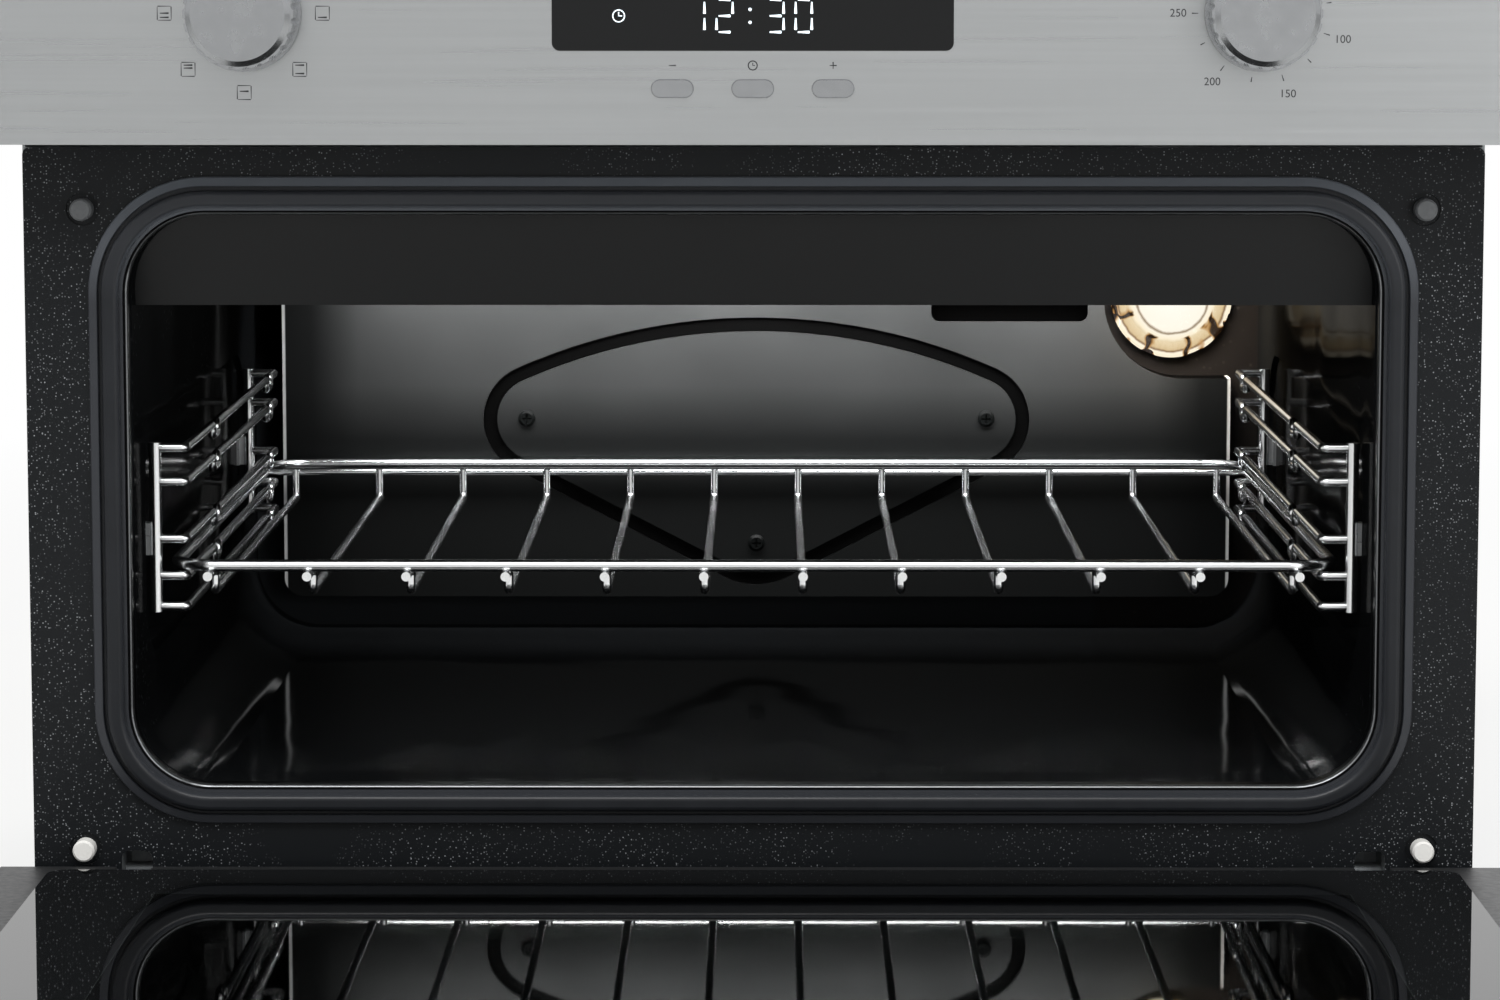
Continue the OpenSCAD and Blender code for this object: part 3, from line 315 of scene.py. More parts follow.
cavity_enamel, tree, shader, coords, sway = enamel(
    "glossy_black_enamel", "#0e0f10", "#303234", roughness=0.08, specular=WALL_GLOSS,
    kept=0.3, pitch=2.4, wave=1.5)
liner_low, liner_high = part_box("cavity_liner")
place = add(tree, "ShaderNodeSeparateXYZ", {"Vector": coords})
sideways = add(tree, "ShaderNodeMath", {0: place.outputs["X"]}, operation="ABSOLUTE")
warped = add(tree, "ShaderNodeMapRange", {
    "Value": sideways.outputs[0], "From Min": liner_high.x - WAVY_FROM,
    "From Max": liner_high.x - WAVY_FULL, "To Min": 0.32, "To Max": 0.6})
tree.links.new(warped.outputs["Result"], sway.inputs["Strength"])

upright = add(tree, "ShaderNodeMapRange", {
    "Value": sideways.outputs[0], "From Min": liner_high.x - FAT_FROM,
    "From Max": liner_high.x - FAT_FULL, "To Min": 1.0, "To Max": 0.005})
inward = add(tree, "ShaderNodeMapRange", {
    "Value": place.outputs["Y"], "From Min": liner_low.y + FRONT_FAT,
    "From Max": liner_low.y + FRONT_CLEAN, "To Min": 0.005, "To Max": 1.0})
lower = add(tree, "ShaderNodeMapRange", {
    "Value": place.outputs["Z"], "From Min": ABOVE_RACKS, "From Max": RACK_LEVEL,
    "To Min": 0.08})
clean = add(tree, "ShaderNodeMath", {0: upright.outputs["Result"], 1: inward.outputs["Result"]},
            operation="MULTIPLY")
glossy = add(tree, "ShaderNodeMath", {0: clean.outputs[0], 1: lower.outputs["Result"]},
             operation="MULTIPLY")
dulled = add(tree, "ShaderNodeMapRange", {
    "Value": glossy.outputs[0], "To Min": FAT_GLOSS, "To Max": WALL_GLOSS})
tree.links.new(dulled.outputs["Result"], shader.inputs["Specular IOR Level"])
paint(cavity_enamel, "cavity_liner")
print("cavity from", round(liner_low.z / MM), "to", round(liner_high.z / MM), "mm high")

# %% [markdown]
# ## One recipe for plain finishes
# Most finishes here differ only in a few numbers: two nearby colours that a slow noise
# blends, a roughness that drifts between two values, and a fine bump. One function
# with those numbers keeps the lesson short. The pitch is the size of the pattern in
# millimetres, and the stretch draws it out along an axis, as rolling or brushing does.

# %% Plain finish recipe
BLOTCH = 9  # slow patches are this many times the pitch across


def finish(name, first, second, pitch, rough, bump=0.1, depth=0.1, stretch=(1, 1, 1), **sockets):
    material, tree, shader, coords = start(name, **sockets)
    placed = add(tree, "ShaderNodeMapping", {"Vector": coords, "Scale": stretch})
    slow = add(tree, "ShaderNodeTexNoise", {
        "Vector": placed.outputs["Vector"], "Scale": 1 / (pitch * BLOTCH * MM), "Detail": 3.0})
    fine = add(tree, "ShaderNodeTexNoise", {
        "Vector": placed.outputs["Vector"], "Scale": 1 / (pitch * MM), "Detail": 2.0})
    colour = add(tree, "ShaderNodeMix", {
        "Factor": slow.outputs["Fac"], "A": linear(first), "B": linear(second)},
        data_type="RGBA")
    tree.links.new(colour.outputs["Result"], shader.inputs["Base Color"])
    drift = add(tree, "ShaderNodeMapRange", {
        "Value": slow.outputs["Fac"], "From Min": 0.3, "From Max": 0.7,
        "To Min": rough[0], "To Max": rough[1]})
    tree.links.new(drift.outputs["Result"], shader.inputs["Roughness"])
    grain = add(tree, "ShaderNodeBump", {
        "Height": fine.outputs["Fac"], "Strength": bump, "Distance": depth * MM})
    tree.links.new(grain.outputs["Normal"], shader.inputs["Normal"])
    return material


header_enamel = finish("satin_black_enamel", "#0c0d0e", "#111213", pitch=4, rough=(0.4, 0.46),
                       bump=0.05, IOR=1.5, Specular_IOR_Level=0.25)
paint(header_enamel, "front_header")
print("first plain finish:", header_enamel.name, "on the strip above the opening")

# %% [markdown]
# ## The gasket
# Silicone rubber is dark, and its highlights are soft. Painted highlights pale the thin
# outer lip and the inner flank of the bulb, and the top is painted paler still, as lit
# from above. The distance from the opening finds lip and flank, and the height finds the
# top.

# %% Gasket
FLANK_PALE = 3.2 * MM
FLANK_DARK = 4.0 * MM
LIP_DARK = 11.0 * MM
LIP_PALE = 11.6 * MM
TOP_LIGHT_FULL = 30 * MM
TOP_LIGHT_FROM = 60 * MM

gasket_rubber = finish("silicone_rubber", "#15171a", "#1c1e22", pitch=1.2, rough=(0.3, 0.38),
                       bump=0.1, IOR=1.42, Specular_IOR_Level=0.3)
tree = gasket_rubber.node_tree
shader = tree.nodes["Principled BSDF"]
coords = add(tree, "ShaderNodeTexCoord", {}).outputs["Object"]
outside = from_opening(tree, coords)
# Painted highlight on the outer lip and on the bulb's inner flank.
lip = add(tree, "ShaderNodeMapRange", {
    "Value": outside, "From Min": LIP_DARK, "From Max": LIP_PALE})
flank = add(tree, "ShaderNodeMapRange", {
    "Value": outside, "From Min": FLANK_DARK, "From Max": FLANK_PALE})
lip_and_flank_highlight = add(tree, "ShaderNodeMath", {0: lip.outputs["Result"], 1: flank.outputs["Result"]},
            operation="MAXIMUM")
place = add(tree, "ShaderNodeSeparateXYZ", {"Vector": coords})
# Painted light from above: the gasket is paler along the top.
lit_from_above = add(tree, "ShaderNodeMapRange", {
    "Value": place.outputs["Z"], "From Min": face_high.z - TOP_LIGHT_FROM,
    "From Max": face_high.z - TOP_LIGHT_FULL})
plain = shader.inputs["Base Color"].links[0].from_socket
rubber = add(tree, "ShaderNodeMix", {
    "Factor": lit_from_above.outputs["Result"], "A": plain, "B": linear("#2b2d31")},
    data_type="RGBA")
painted_highlight = add(tree, "ShaderNodeMix", {
    "Factor": lit_from_above.outputs["Result"], "A": linear("#303236"), "B": linear("#565a60")},
    data_type="RGBA")
highlighted = add(tree, "ShaderNodeMix", {
    "Factor": lip_and_flank_highlight.outputs[0], "A": rubber.outputs["Result"], "B": painted_highlight.outputs["Result"]},
    data_type="RGBA")
tree.links.new(highlighted.outputs["Result"], shader.inputs["Base Color"])
paint(gasket_rubber, "door_gasket")
print("dust on the gasket from", round(LIP_DARK / MM, 1), "mm outside the opening")

# %% [markdown]
# ## The rear panel
# The panel has a satin enamel with a metallic sheen, which spreads the lamp's light into
# a wide glow. Four masks paint light and shade on it by place: painted shade darkens it
# below the shelf and along its side margins, the pressed groove is painted black as
# shade, and the folded side edges carry a painted highlight.

# %% Rear panel
HAZE_PITCH = 45.45 * MM
SHADE_FULL_BELOW = 198 * MM
SHADE_ENDS_ABOVE = 224 * MM
MARGIN_FROM = 36 * MM
MARGIN_FULL = 14 * MM
GROOVE_FROM = 0.3 * MM
GROOVE_FULL = 1.2 * MM
FOLD_FROM = 1.7 * MM
FOLD_FULL = 1.1 * MM

panel_low, panel_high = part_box("rear_panel")
panel_enamel, tree, shader, coords = start("satin_panel_enamel", IOR=1.5)
place = add(tree, "ShaderNodeSeparateXYZ", {"Vector": coords})
haze = add(tree, "ShaderNodeTexNoise", {"Vector": coords, "Scale": 1 / HAZE_PITCH, "Detail": 4.0})
tone = add(tree, "ShaderNodeMix", {
    "Factor": haze.outputs["Fac"], "A": linear("#2f3030"), "B": linear("#363737")},
    data_type="RGBA")
# Painted shade: the coat turns darker below the shelf.
clear = add(tree, "ShaderNodeMapRange", {
    "Value": place.outputs["Z"], "From Min": SHADE_FULL_BELOW, "From Max": SHADE_ENDS_ABOVE})
shaded_low = add(tree, "ShaderNodeMix", {
    "Factor": clear.outputs["Result"], "A": linear("#161717"), "B": tone.outputs["Result"]},
    data_type="RGBA")
sideways = add(tree, "ShaderNodeMath", {0: place.outputs["X"]}, operation="ABSOLUTE")
# Painted shade: the side margins are darker.
margin = add(tree, "ShaderNodeMapRange", {
    "Value": sideways.outputs[0], "From Min": panel_high.x - MARGIN_FROM,
    "From Max": panel_high.x - MARGIN_FULL, "To Max": 0.85})
shaded_margins = add(tree, "ShaderNodeMix", {
    "Factor": margin.outputs["Result"], "A": shaded_low.outputs["Result"],
    "B": linear("#0e0f0f")}, data_type="RGBA")
# Painted shade: the pressed groove is black.
sunk = add(tree, "ShaderNodeMapRange", {
    "Value": place.outputs["Y"], "From Min": panel_low.y + GROOVE_FROM,
    "From Max": panel_low.y + GROOVE_FULL})
shaded_groove = add(tree, "ShaderNodeMix", {
    "Factor": sunk.outputs["Result"], "A": shaded_margins.outputs["Result"], "B": linear("#020202")},
    data_type="RGBA")
# Painted highlight: the folded side edges are pale.
edge_highlight = add(tree, "ShaderNodeMapRange", {
    "Value": sideways.outputs[0], "From Min": panel_high.x - FOLD_FROM,
    "From Max": panel_high.x - FOLD_FULL})
highlit_edges = add(tree, "ShaderNodeMix", {
    "Factor": edge_highlight.outputs["Result"], "A": shaded_groove.outputs["Result"], "B": linear("#c4c5c5")},
    data_type="RGBA")
tree.links.new(highlit_edges.outputs["Result"], shader.inputs["Base Color"])
print("panel", [round(v / MM) for v in (*panel_low, *panel_high)])

# %% [markdown]
# ## The rear panel's sheen
# The groove is painted as shade, so the same mask that blackens it also takes away both
# the sheen and the gloss of the face. The slow noise lets the roughness drift a little, and
# a fine grain in the enamel breaks up the highlights.

# %% Rear panel sheen
GRAIN_PITCH = 2.5 * MM

for socket, on_face in (("Metallic", 0.7), ("Specular IOR Level", 0.15)):
    lost = add(tree, "ShaderNodeMapRange", {
        "Value": sunk.outputs["Result"], "To Min": on_face, "To Max": 0.02})
    tree.links.new(lost.outputs["Result"], shader.inputs[socket])
satin = add(tree, "ShaderNodeMapRange", {
    "Value": haze.outputs["Fac"], "From Min": 0.3, "From Max": 0.7,
    "To Min": 0.36, "To Max": 0.42})
tree.links.new(satin.outputs["Result"], shader.inputs["Roughness"])
grain = add(tree, "ShaderNodeTexNoise", {
    "Vector": coords, "Scale": 1 / GRAIN_PITCH, "Detail": 2.0})
ripple = add(tree, "ShaderNodeBump", {
    "Height": grain.outputs["Fac"], "Strength": 0.05, "Distance": 0.1 * MM})
tree.links.new(ripple.outputs["Normal"], shader.inputs["Normal"])
paint(panel_enamel, "rear_panel")
print("panel's grain", round(GRAIN_PITCH / MM, 1), "mm, groove masked from",
      round(GROOVE_FROM / MM, 1), "mm deep")

# %% [markdown]
# ## Bumpers painted lit and shaded
# The two upper bumpers are painted grey, as shaded, the two lower ones nearly white, as lit.
# One material does both: the height of the point decides how much of the pale colour it
# gets.

# %% Bumper rubber
BUMPER_REACH = 40 * MM
PIT_PITCH = 1.5 * MM

low_bumper, high_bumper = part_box("door_bumpers")
bumper, tree, shader, coords = start("bumper_rubber", Roughness=0.5, IOR=1.45)
place = add(tree, "ShaderNodeSeparateXYZ", {"Vector": coords})
# Painted light and shade: lower bumpers paler, as lit; upper ones grey, as shaded.
light_by_height = add(tree, "ShaderNodeMapRange", {
    "Value": place.outputs["Z"], "From Min": high_bumper.z - BUMPER_REACH,
    "From Max": low_bumper.z + BUMPER_REACH})
mottle = add(tree, "ShaderNodeTexNoise", {
    "Vector": coords, "Scale": 1 / PIT_PITCH, "Detail": 2.0})
grey = add(tree, "ShaderNodeMix", {
    "Factor": mottle.outputs["Fac"], "A": linear("#4c4e50"), "B": linear("#626466")},
    data_type="RGBA")
lit_and_shaded = add(tree, "ShaderNodeMix", {
    "Factor": light_by_height.outputs["Result"], "A": grey.outputs["Result"], "B": linear("#e4e3df")},
    data_type="RGBA")
tree.links.new(lit_and_shaded.outputs["Result"], shader.inputs["Base Color"])
pits = add(tree, "ShaderNodeBump", {
    "Height": mottle.outputs["Fac"], "Strength": 0.15, "Distance": 0.1 * MM})
tree.links.new(pits.outputs["Normal"], shader.inputs["Normal"])
paint(bumper, "door_bumpers")
print("bumpers from", round(low_bumper.z / MM), "to", round(high_bumper.z / MM), "mm")

# %% [markdown]
# ## Bright wire, steel and other metals
# Chrome plate on drawn wire is a mirror with faint draw marks. Brushed stainless steel has
# long thin scratches along the sheet, which blur reflections across them: the noise is
# stretched some eighty times along X. Nickel-steel sheaths of the heaters oxidise to a
# dull olive. The rear panel's screws are blackened, so they hardly shine.

# %% Metals
chrome = finish("chrome_plate", "#d4d6d7", "#dfe0e1", pitch=3, rough=(0.19, 0.24), bump=0.03,
                Metallic=1.0)
black_oxide = finish("blackened_steel", "#050606", "#0b0c0c", pitch=0.8, rough=(0.3, 0.4),
                     bump=0.1, IOR=1.5, Specular_IOR_Level=0.03)
brushed = finish("brushed_stainless", "#a8aaab", "#afb1b2", pitch=0.22, rough=(0.27, 0.3),
                 bump=0.1, depth=0.03, stretch=(0.012, 1, 1), Metallic=1.0)
heater = finish("oxidised_sheath", "#2b2a27", "#3c3a34", pitch=2, rough=(0.38, 0.55), bump=0.2,
                Metallic=0.6)
copper = finish("drawn_copper", "#a8653f", "#8c5233", pitch=3, rough=(0.25, 0.4), bump=0.08,
                Metallic=1.0)
motor = finish("lacquered_motor_steel", "#5c5f61", "#6d7072", pitch=2, rough=(0.4, 0.5),
               bump=0.15, Metallic=0.7)
aluminium = finish("mill_aluminium", "#a6a8aa", "#b9babb", pitch=1.5, rough=(0.3, 0.4),
                   bump=0.1, Metallic=1.0)
knob_metal = finish("satin_aluminium_cap", "#9b9d9f", "#a3a5a7", pitch=0.6, rough=(0.24, 0.28),
                    bump=0.03, depth=0.02, Metallic=1.0)
paint(chrome, "rack_left", "rack_right", "wire_shelf", "hinge_pins")
paint(brushed, "fascia", "lower_trim", "door_handle", "handle_posts", "rack_clips",
      "casing_screws", "hinge_arms", "hinge_cases", "function_shaft", "temperature_shaft")
paint(black_oxide, "rear_panel_screws")
paint(heater, "grill_element", "bottom_element")
paint(copper, "thermostat_probe")
paint(motor, "blower_motor")
paint(aluminium, "blower_rotor")
paint(knob_metal, "function_knob", "temperature_knob",
      "button_minus", "button_mode", "button_plus")
print("metals:", [m.name for m in (chrome, black_oxide, brushed, heater, copper, motor)])

# %% [markdown]
# ## Zinc-coated sheet
# The casing is steel sheet dipped in zinc, which grows crystals a centimetre wide, each
# with its own tone and gloss. A Voronoi pattern gives the crystals, and its random colours
# give tone and roughness. A fine frost lies over them.

# %% Zinc
CRYSTAL = 11 * MM
FROST_PITCH = 2 * MM

zinc, tree, shader, coords = start("spangled_zinc", Metallic=0.9)
crystals = add(tree, "ShaderNodeTexVoronoi", {"Vector": coords, "Scale": 1 / CRYSTAL})
tone = add(tree, "ShaderNodeSeparateColor", {"Color": crystals.outputs["Color"]})
frost = add(tree, "ShaderNodeTexNoise", {
    "Vector": coords, "Scale": 1 / FROST_PITCH, "Detail": 3.0})
mixed = add(tree, "ShaderNodeMath", {0: tone.outputs["Green"], 1: frost.outputs["Fac"]},
            operation="MULTIPLY")
shade = add(tree, "ShaderNodeMix", {
    "Factor": mixed.outputs[0], "A": linear("#8f9395"), "B": linear("#b6babc")},
    data_type="RGBA")
gloss = add(tree, "ShaderNodeMapRange", {
    "Value": tone.outputs["Red"], "To Min": 0.44, "To Max": 0.6})
lift = add(tree, "ShaderNodeBump", {
    "Height": crystals.outputs["Distance"], "Strength": 0.05, "Distance": 0.1 * MM})
tree.links.new(shade.outputs["Result"], shader.inputs["Base Color"])
tree.links.new(gloss.outputs["Result"], shader.inputs["Roughness"])
tree.links.new(lift.outputs["Normal"], shader.inputs["Normal"])
paint(zinc, "grill_supports", "lamp_holder", "vent_chimney", "base_plate", "side_panel_left",
      "side_panel_right", "component_tray", "top_cover", "back_cover", "blower_housing",
      "air_duct", "control_bracket", "hinge_receivers")
print("zinc crystals", round(CRYSTAL / MM), "mm wide")

# %% [markdown]
# ## Plastics, board and wool
# Moulded plastic has a spark-eroded texture of about a third of a millimetre. The circuit
# board is green lacquer over fibreglass, with a faint unevenness. Mineral wool is a mat
# of fibres: strong bump, no gloss, and a yellow-brown colour that drifts.

# %% Plastics, board and wool
black_plastic = finish("black_nylon", "#151617", "#1c1d1e", pitch=0.35, rough=(0.4, 0.5),
                       bump=0.2, IOR=1.53)
pale_plastic = finish("ivory_polyamide", "#cfcabd", "#d9d5c9", pitch=0.35, rough=(0.4, 0.5),
                      bump=0.15, IOR=1.53)
brown_plastic = finish("brown_phenolic", "#3b2c22", "#46352a", pitch=0.5, rough=(0.35, 0.45),
                       bump=0.1, IOR=1.6)
board = finish("green_circuit_board", "#1f4a2c", "#28573a", pitch=0.6, rough=(0.3, 0.4),
               bump=0.2, IOR=1.5)
wool = finish("mineral_wool", "#a2925f", "#c2b283", pitch=1.0, rough=(0.95, 1.0), bump=0.9,
              depth=1.2, stretch=(1, 0.3, 1), IOR=1.4, Specular_IOR_Level=0.1)
paint(black_plastic, "cable_gland", "door_rails")
paint(pale_plastic, "terminal_block", "selector_switch", "thermostat")
paint(brown_plastic, "safety_cutout")
paint(board, "timer_module")
paint(wool, "insulation_blanket", "insulation_back")
print("plastics:", [m.name for m in (black_plastic, pale_plastic, brown_plastic)])

# %% [markdown]
# ## Glass
# The door has three panes. The outer one is black-backed, and shows only its polished
# surface. The middle one is clear with the green tint of iron in float glass. The clock's
# window is smoked. One recipe makes them all: its amount is the share of light that goes
# through, and a very slow wave keeps the mirror from being too perfect.

# %% Glass recipe and plain panes
FILM_PITCH = 60 * MM


def pane(name, tint, amount, roughness, **sockets):
    material, tree, shader, coords = start(
        name, IOR=1.52, Roughness=roughness, Transmission_Weight=amount, **sockets)
    film = add(tree, "ShaderNodeTexNoise", {
        "Vector": coords, "Scale": 1 / FILM_PITCH, "Detail": 2.0})
    colour = add(tree, "ShaderNodeMix", {
        "Factor": film.outputs["Fac"], "A": linear(tint[0]), "B": linear(tint[1])},
        data_type="RGBA")
    tree.links.new(colour.outputs["Result"], shader.inputs["Base Color"])
    wave = add(tree, "ShaderNodeBump", {
        "Height": film.outputs["Fac"], "Strength": 0.02, "Distance": 0.5 * MM})
    tree.links.new(wave.outputs["Normal"], shader.inputs["Normal"])
    return material, tree, shader, coords


black_glass = pane("black_backed_glass", ("#08090a", "#0b0c0d"), amount=0.0, roughness=0.03)[0]
float_glass = pane("float_glass", ("#e3efe8", "#dcebe3"), amount=1.0, roughness=0.0)[0]
window_glass = pane("smoked_window_glass", ("#050607", "#08090a"), amount=0.0, roughness=0.05,
                    Specular_IOR_Level=0.25)[0]
paint(black_glass, "door_outer_glass")
paint(float_glass, "door_middle_glass")
paint(window_glass, "display_window")
print("plain panes:", [m.name for m in (black_glass, float_glass, window_glass)])

# %% [markdown]
# ## The printed pane
# The door's inner pane faces up when the door is down. It has a black ceramic print round
# its edge and a grey tint inside it. The distance to the pane's nearest edge, compared
# with the print's width, decides where the ink ends, and stops light going through it.

# %% Printed pane
PRINT_WIDTH = 46 * MM
PRINT_BLUR = 0.4 * MM

low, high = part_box("door_inner_glass")
printed, tree, shader, coords = pane(
    "printed_door_glass", ("#5b625f", "#505754"), amount=1.0, roughness=0.02)
place = add(tree, "ShaderNodeSeparateXYZ", {"Vector": coords})
edges = []
for axis in "XY":
    centre = (getattr(low, axis.lower()) + getattr(high, axis.lower())) / 2
    half = (getattr(high, axis.lower()) - getattr(low, axis.lower())) / 2
    shifted = add(tree, "ShaderNodeMath", {0: place.outputs[axis], 1: centre},
                  operation="SUBTRACT")
    size = add(tree, "ShaderNodeMath", {0: shifted.outputs[0]}, operation="ABSOLUTE")
    edges.append(add(tree, "ShaderNodeMath", {0: half, 1: size.outputs[0]},
                     operation="SUBTRACT"))
nearest = add(tree, "ShaderNodeMath", {0: edges[0].outputs[0], 1: edges[1].outputs[0]},
              operation="MINIMUM")
inside = add(tree, "ShaderNodeMapRange", {
    "Value": nearest.outputs[0], "From Min": PRINT_WIDTH,
    "From Max": PRINT_WIDTH + PRINT_BLUR})
tinted = shader.inputs["Base Color"].links[0].from_socket
ceramic = add(tree, "ShaderNodeMix", {
    "Factor": inside.outputs["Result"], "A": linear("#0c0d0e"), "B": tinted},
    data_type="RGBA")
tree.links.new(ceramic.outputs["Result"], shader.inputs["Base Color"])
tree.links.new(inside.outputs["Result"], shader.inputs["Transmission Weight"])
paint(printed, "door_inner_glass")
print("printed pane:", [round((high - low)[i] / MM, 1) for i in range(3)], "mm")

# %% [markdown]
# ## The lamp's glass
# The cover is pressed glass with a lobed rim, and the lamp behind it is lit. A colour ramp
# over the distance from the lamp's axis gives the bright middle, a thin grey ring where
# the dome meets the rim, the cream rim, and a brown line inside its bright edge. A noise
# of a few millimetres bends that distance, as uneven glass does.

# %% Glow by distance
RIB_PITCH = 5 * MM
WOBBLE = 0.8 * MM
GLOW_REACH = 30 * MM
MIDDLE = "#fffaf0"
EDGE = "#fff1d2"
RINGS = ((0.53, "#fff8e8"), (0.565, "#8f7a60"), (0.6, "#fff6e2"), (0.66, "#fdf0d4"),
         (0.71, "#e6d3ad"), (0.83, "#d6bd90"), (0.86, "#7d5c38"), (0.89, "#fff4dc"))

lamp = (lens_low + lens_high) / 2
lens, tree, shader, coords = start(
    "lamp_cover_glass", IOR=1.5, Roughness=0.12, Emission_Strength=1.0)
place = add(tree, "ShaderNodeSeparateXYZ", {"Vector": coords})
across = add(tree, "ShaderNodeMath", {0: place.outputs["X"], 1: lamp.x}, operation="SUBTRACT")
upward = add(tree, "ShaderNodeMath", {0: place.outputs["Z"], 1: lamp.z}, operation="SUBTRACT")
flat = add(tree, "ShaderNodeCombineXYZ", {"X": across.outputs[0], "Y": upward.outputs[0]})
radius = add(tree, "ShaderNodeVectorMath", {0: flat.outputs["Vector"]}, operation="LENGTH")
ribs = add(tree, "ShaderNodeTexNoise", {"Vector": coords, "Scale": 1 / RIB_PITCH, "Detail": 2.0})
wobble = add(tree, "ShaderNodeMapRange", {
    "Value": ribs.outputs["Fac"], "To Min": -WOBBLE, "To Max": WOBBLE})
bent = add(tree, "ShaderNodeMath", {0: radius.outputs["Value"], 1: wobble.outputs["Result"]})
share = add(tree, "ShaderNodeMapRange", {"Value": bent.outputs[0], "From Max": GLOW_REACH})
glow_ramp = add(tree, "ShaderNodeValToRGB", {"Fac": share.outputs["Result"]})
stops = glow_ramp.color_ramp.elements
stops[0].color = linear(MIDDLE)
stops[1].color = linear(EDGE)
for position, code in RINGS:
    stops.new(position).color = linear(code)
shader.inputs["Base Color"].default_value = linear("#0c0a08")
dents = add(tree, "ShaderNodeBump", {
    "Height": ribs.outputs["Fac"], "Strength": 0.4, "Distance": 1.0 * MM})
tree.links.new(dents.outputs["Normal"], shader.inputs["Normal"])
paint(lens, "lamp_lens")
print("lamp at", [round(v / MM, 1) for v in lamp], "mm, rings:", len(RINGS))

# %% [markdown]
# ## The lamp's lobes
# Between the lobes the pressed glass is thick, and shows dark brown with an amber fringe.
# The cosine of the angle round the axis, times the number of lobes, is lowest there. A
# smooth noise swings the angle, so that no two notches are alike. The halogen capsule
# behind the cover glows a little by itself.

# %% Notches between the lobes
LOBES = 8
LOBE_TURN = 0.9
FLOW_PITCH = 7 * MM
SWING = 1.5
NOTCH_FROM = 19.6 * MM
NOTCH_FULL = 20.4 * MM

turn = add(tree, "ShaderNodeMath", {0: upward.outputs[0], 1: across.outputs[0]},
           operation="ARCTAN2")
lobed = add(tree, "ShaderNodeMath", {0: turn.outputs[0], 1: float(LOBES), 2: LOBE_TURN},
            operation="MULTIPLY_ADD")
flow = add(tree, "ShaderNodeTexNoise", {"Vector": coords, "Scale": 1 / FLOW_PITCH, "Detail": 0.0})
uneven = add(tree, "ShaderNodeMapRange", {
    "Value": flow.outputs["Fac"], "From Min": 0.3, "From Max": 0.7,
    "To Min": -SWING, "To Max": SWING})
swung = add(tree, "ShaderNodeMath", {0: lobed.outputs[0], 1: uneven.outputs["Result"]})
wave = add(tree, "ShaderNodeMath", {0: swung.outputs[0]}, operation="COSINE")
band = add(tree, "ShaderNodeMapRange", {
    "Value": bent.outputs[0], "From Min": NOTCH_FROM, "From Max": NOTCH_FULL})
shown = glow_ramp.outputs["Color"]
for start_at, full_at, code in ((0.0, -0.6, "#b98a4e"), (-0.5, -0.8, "#1e0e04")):
    valley = add(tree, "ShaderNodeMapRange", {
        "Value": wave.outputs[0], "From Min": start_at, "From Max": full_at})
    notch = add(tree, "ShaderNodeMath", {0: valley.outputs["Result"], 1: band.outputs["Result"]},
                operation="MULTIPLY")
    shown = add(tree, "ShaderNodeMix", {
        "Factor": notch.outputs[0], "A": shown, "B": linear(code)},
        data_type="RGBA").outputs["Result"]
tree.links.new(shown, shader.inputs["Emission Color"])

bulb = pane("bulb_glass", ("#fff7e4", "#fff1d4"), amount=0.9, roughness=0.05,
            Emission_Strength=0.6, Emission_Color=linear("#ffe0a8"))[0]
paint(bulb, "lamp_bulb")
print("notches between", LOBES, "lobes, from", round(NOTCH_FROM / MM, 1), "mm outwards")

# %% [markdown]
# ## Thin printed pieces
# Marks on the fascia are ink a twentieth of a millimetre thick. Each is a small flat
# outline that is pushed out a little, so it lies on the steel and catches no edge light.
# Two helpers serve all of them: one turns a finished bmesh into a piece that rides on a
# body, and one pushes flat faces out.

# %% Helpers for thin pieces
INK = 0.05 * MM
FACE_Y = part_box("fascia")[0].y
FACING = Matrix.Rotation(math.radians(90), 4, "X")  # turns a flat shape to face the front


def new_piece(name, bm, material, body):
    bmesh.ops.recalc_face_normals(bm, faces=bm.faces)
    data = bpy.data.meshes.new(name)
    bm.to_mesh(data)
    bm.free()
    piece = bpy.data.objects.new(name, data)
    bpy.context.scene.collection.objects.link(piece)
    data.materials.append(material)
    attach(piece, body)


def raise_faces(bm, faces, height):
    made = bmesh.ops.extrude_face_region(bm, geom=faces)
    moved = [v for v in made["geom"] if isinstance(v, bmesh.types.BMVert)]
    bmesh.ops.translate(bm, verts=moved, vec=(0, -height, 0))


print("marks lie at y =", round(FACE_Y / MM, 2), "mm")

# %% [markdown]
# ## Strokes and discs
# Every sign is put together from two outlines. A stroke is a hexagon: its four middle
# corners move out until they are half a stroke's width from the tips, which leaves short
# pointed ends. A dot is a disc, and a ring is a disc whose middle is inset and taken out.
# A third helper gives a place on a dial, with the angle clockwise from the top.

# %% Strokes, discs and places on a dial
HEXAGON_HEIGHT = 0.866  # of a hexagon one unit across its corners


def stroke(bm, a, b, width, y=FACE_Y, height=INK):
    (ax, az), (bx, bz) = a, b
    length = math.hypot(bx - ax, bz - az) + width
    place = Matrix.Translation(((ax + bx) / 2, y, (az + bz) / 2))
    turn = Matrix.Rotation(-math.atan2(bz - az, bx - ax), 4, "Y")
    corners = bmesh.ops.create_circle(bm, cap_ends=True, segments=6, radius=0.5)["verts"]
    bmesh.ops.scale(bm, verts=corners, vec=(length, width / HEXAGON_HEIGHT, 1))
    for v in corners:
        if abs(v.co.x) < 0.4 * length:
            v.co.x = math.copysign((length - width) / 2, v.co.x)
    bmesh.ops.transform(bm, verts=corners, matrix=place @ turn @ FACING)
    raise_faces(bm, [corners[0].link_faces[0]], height)


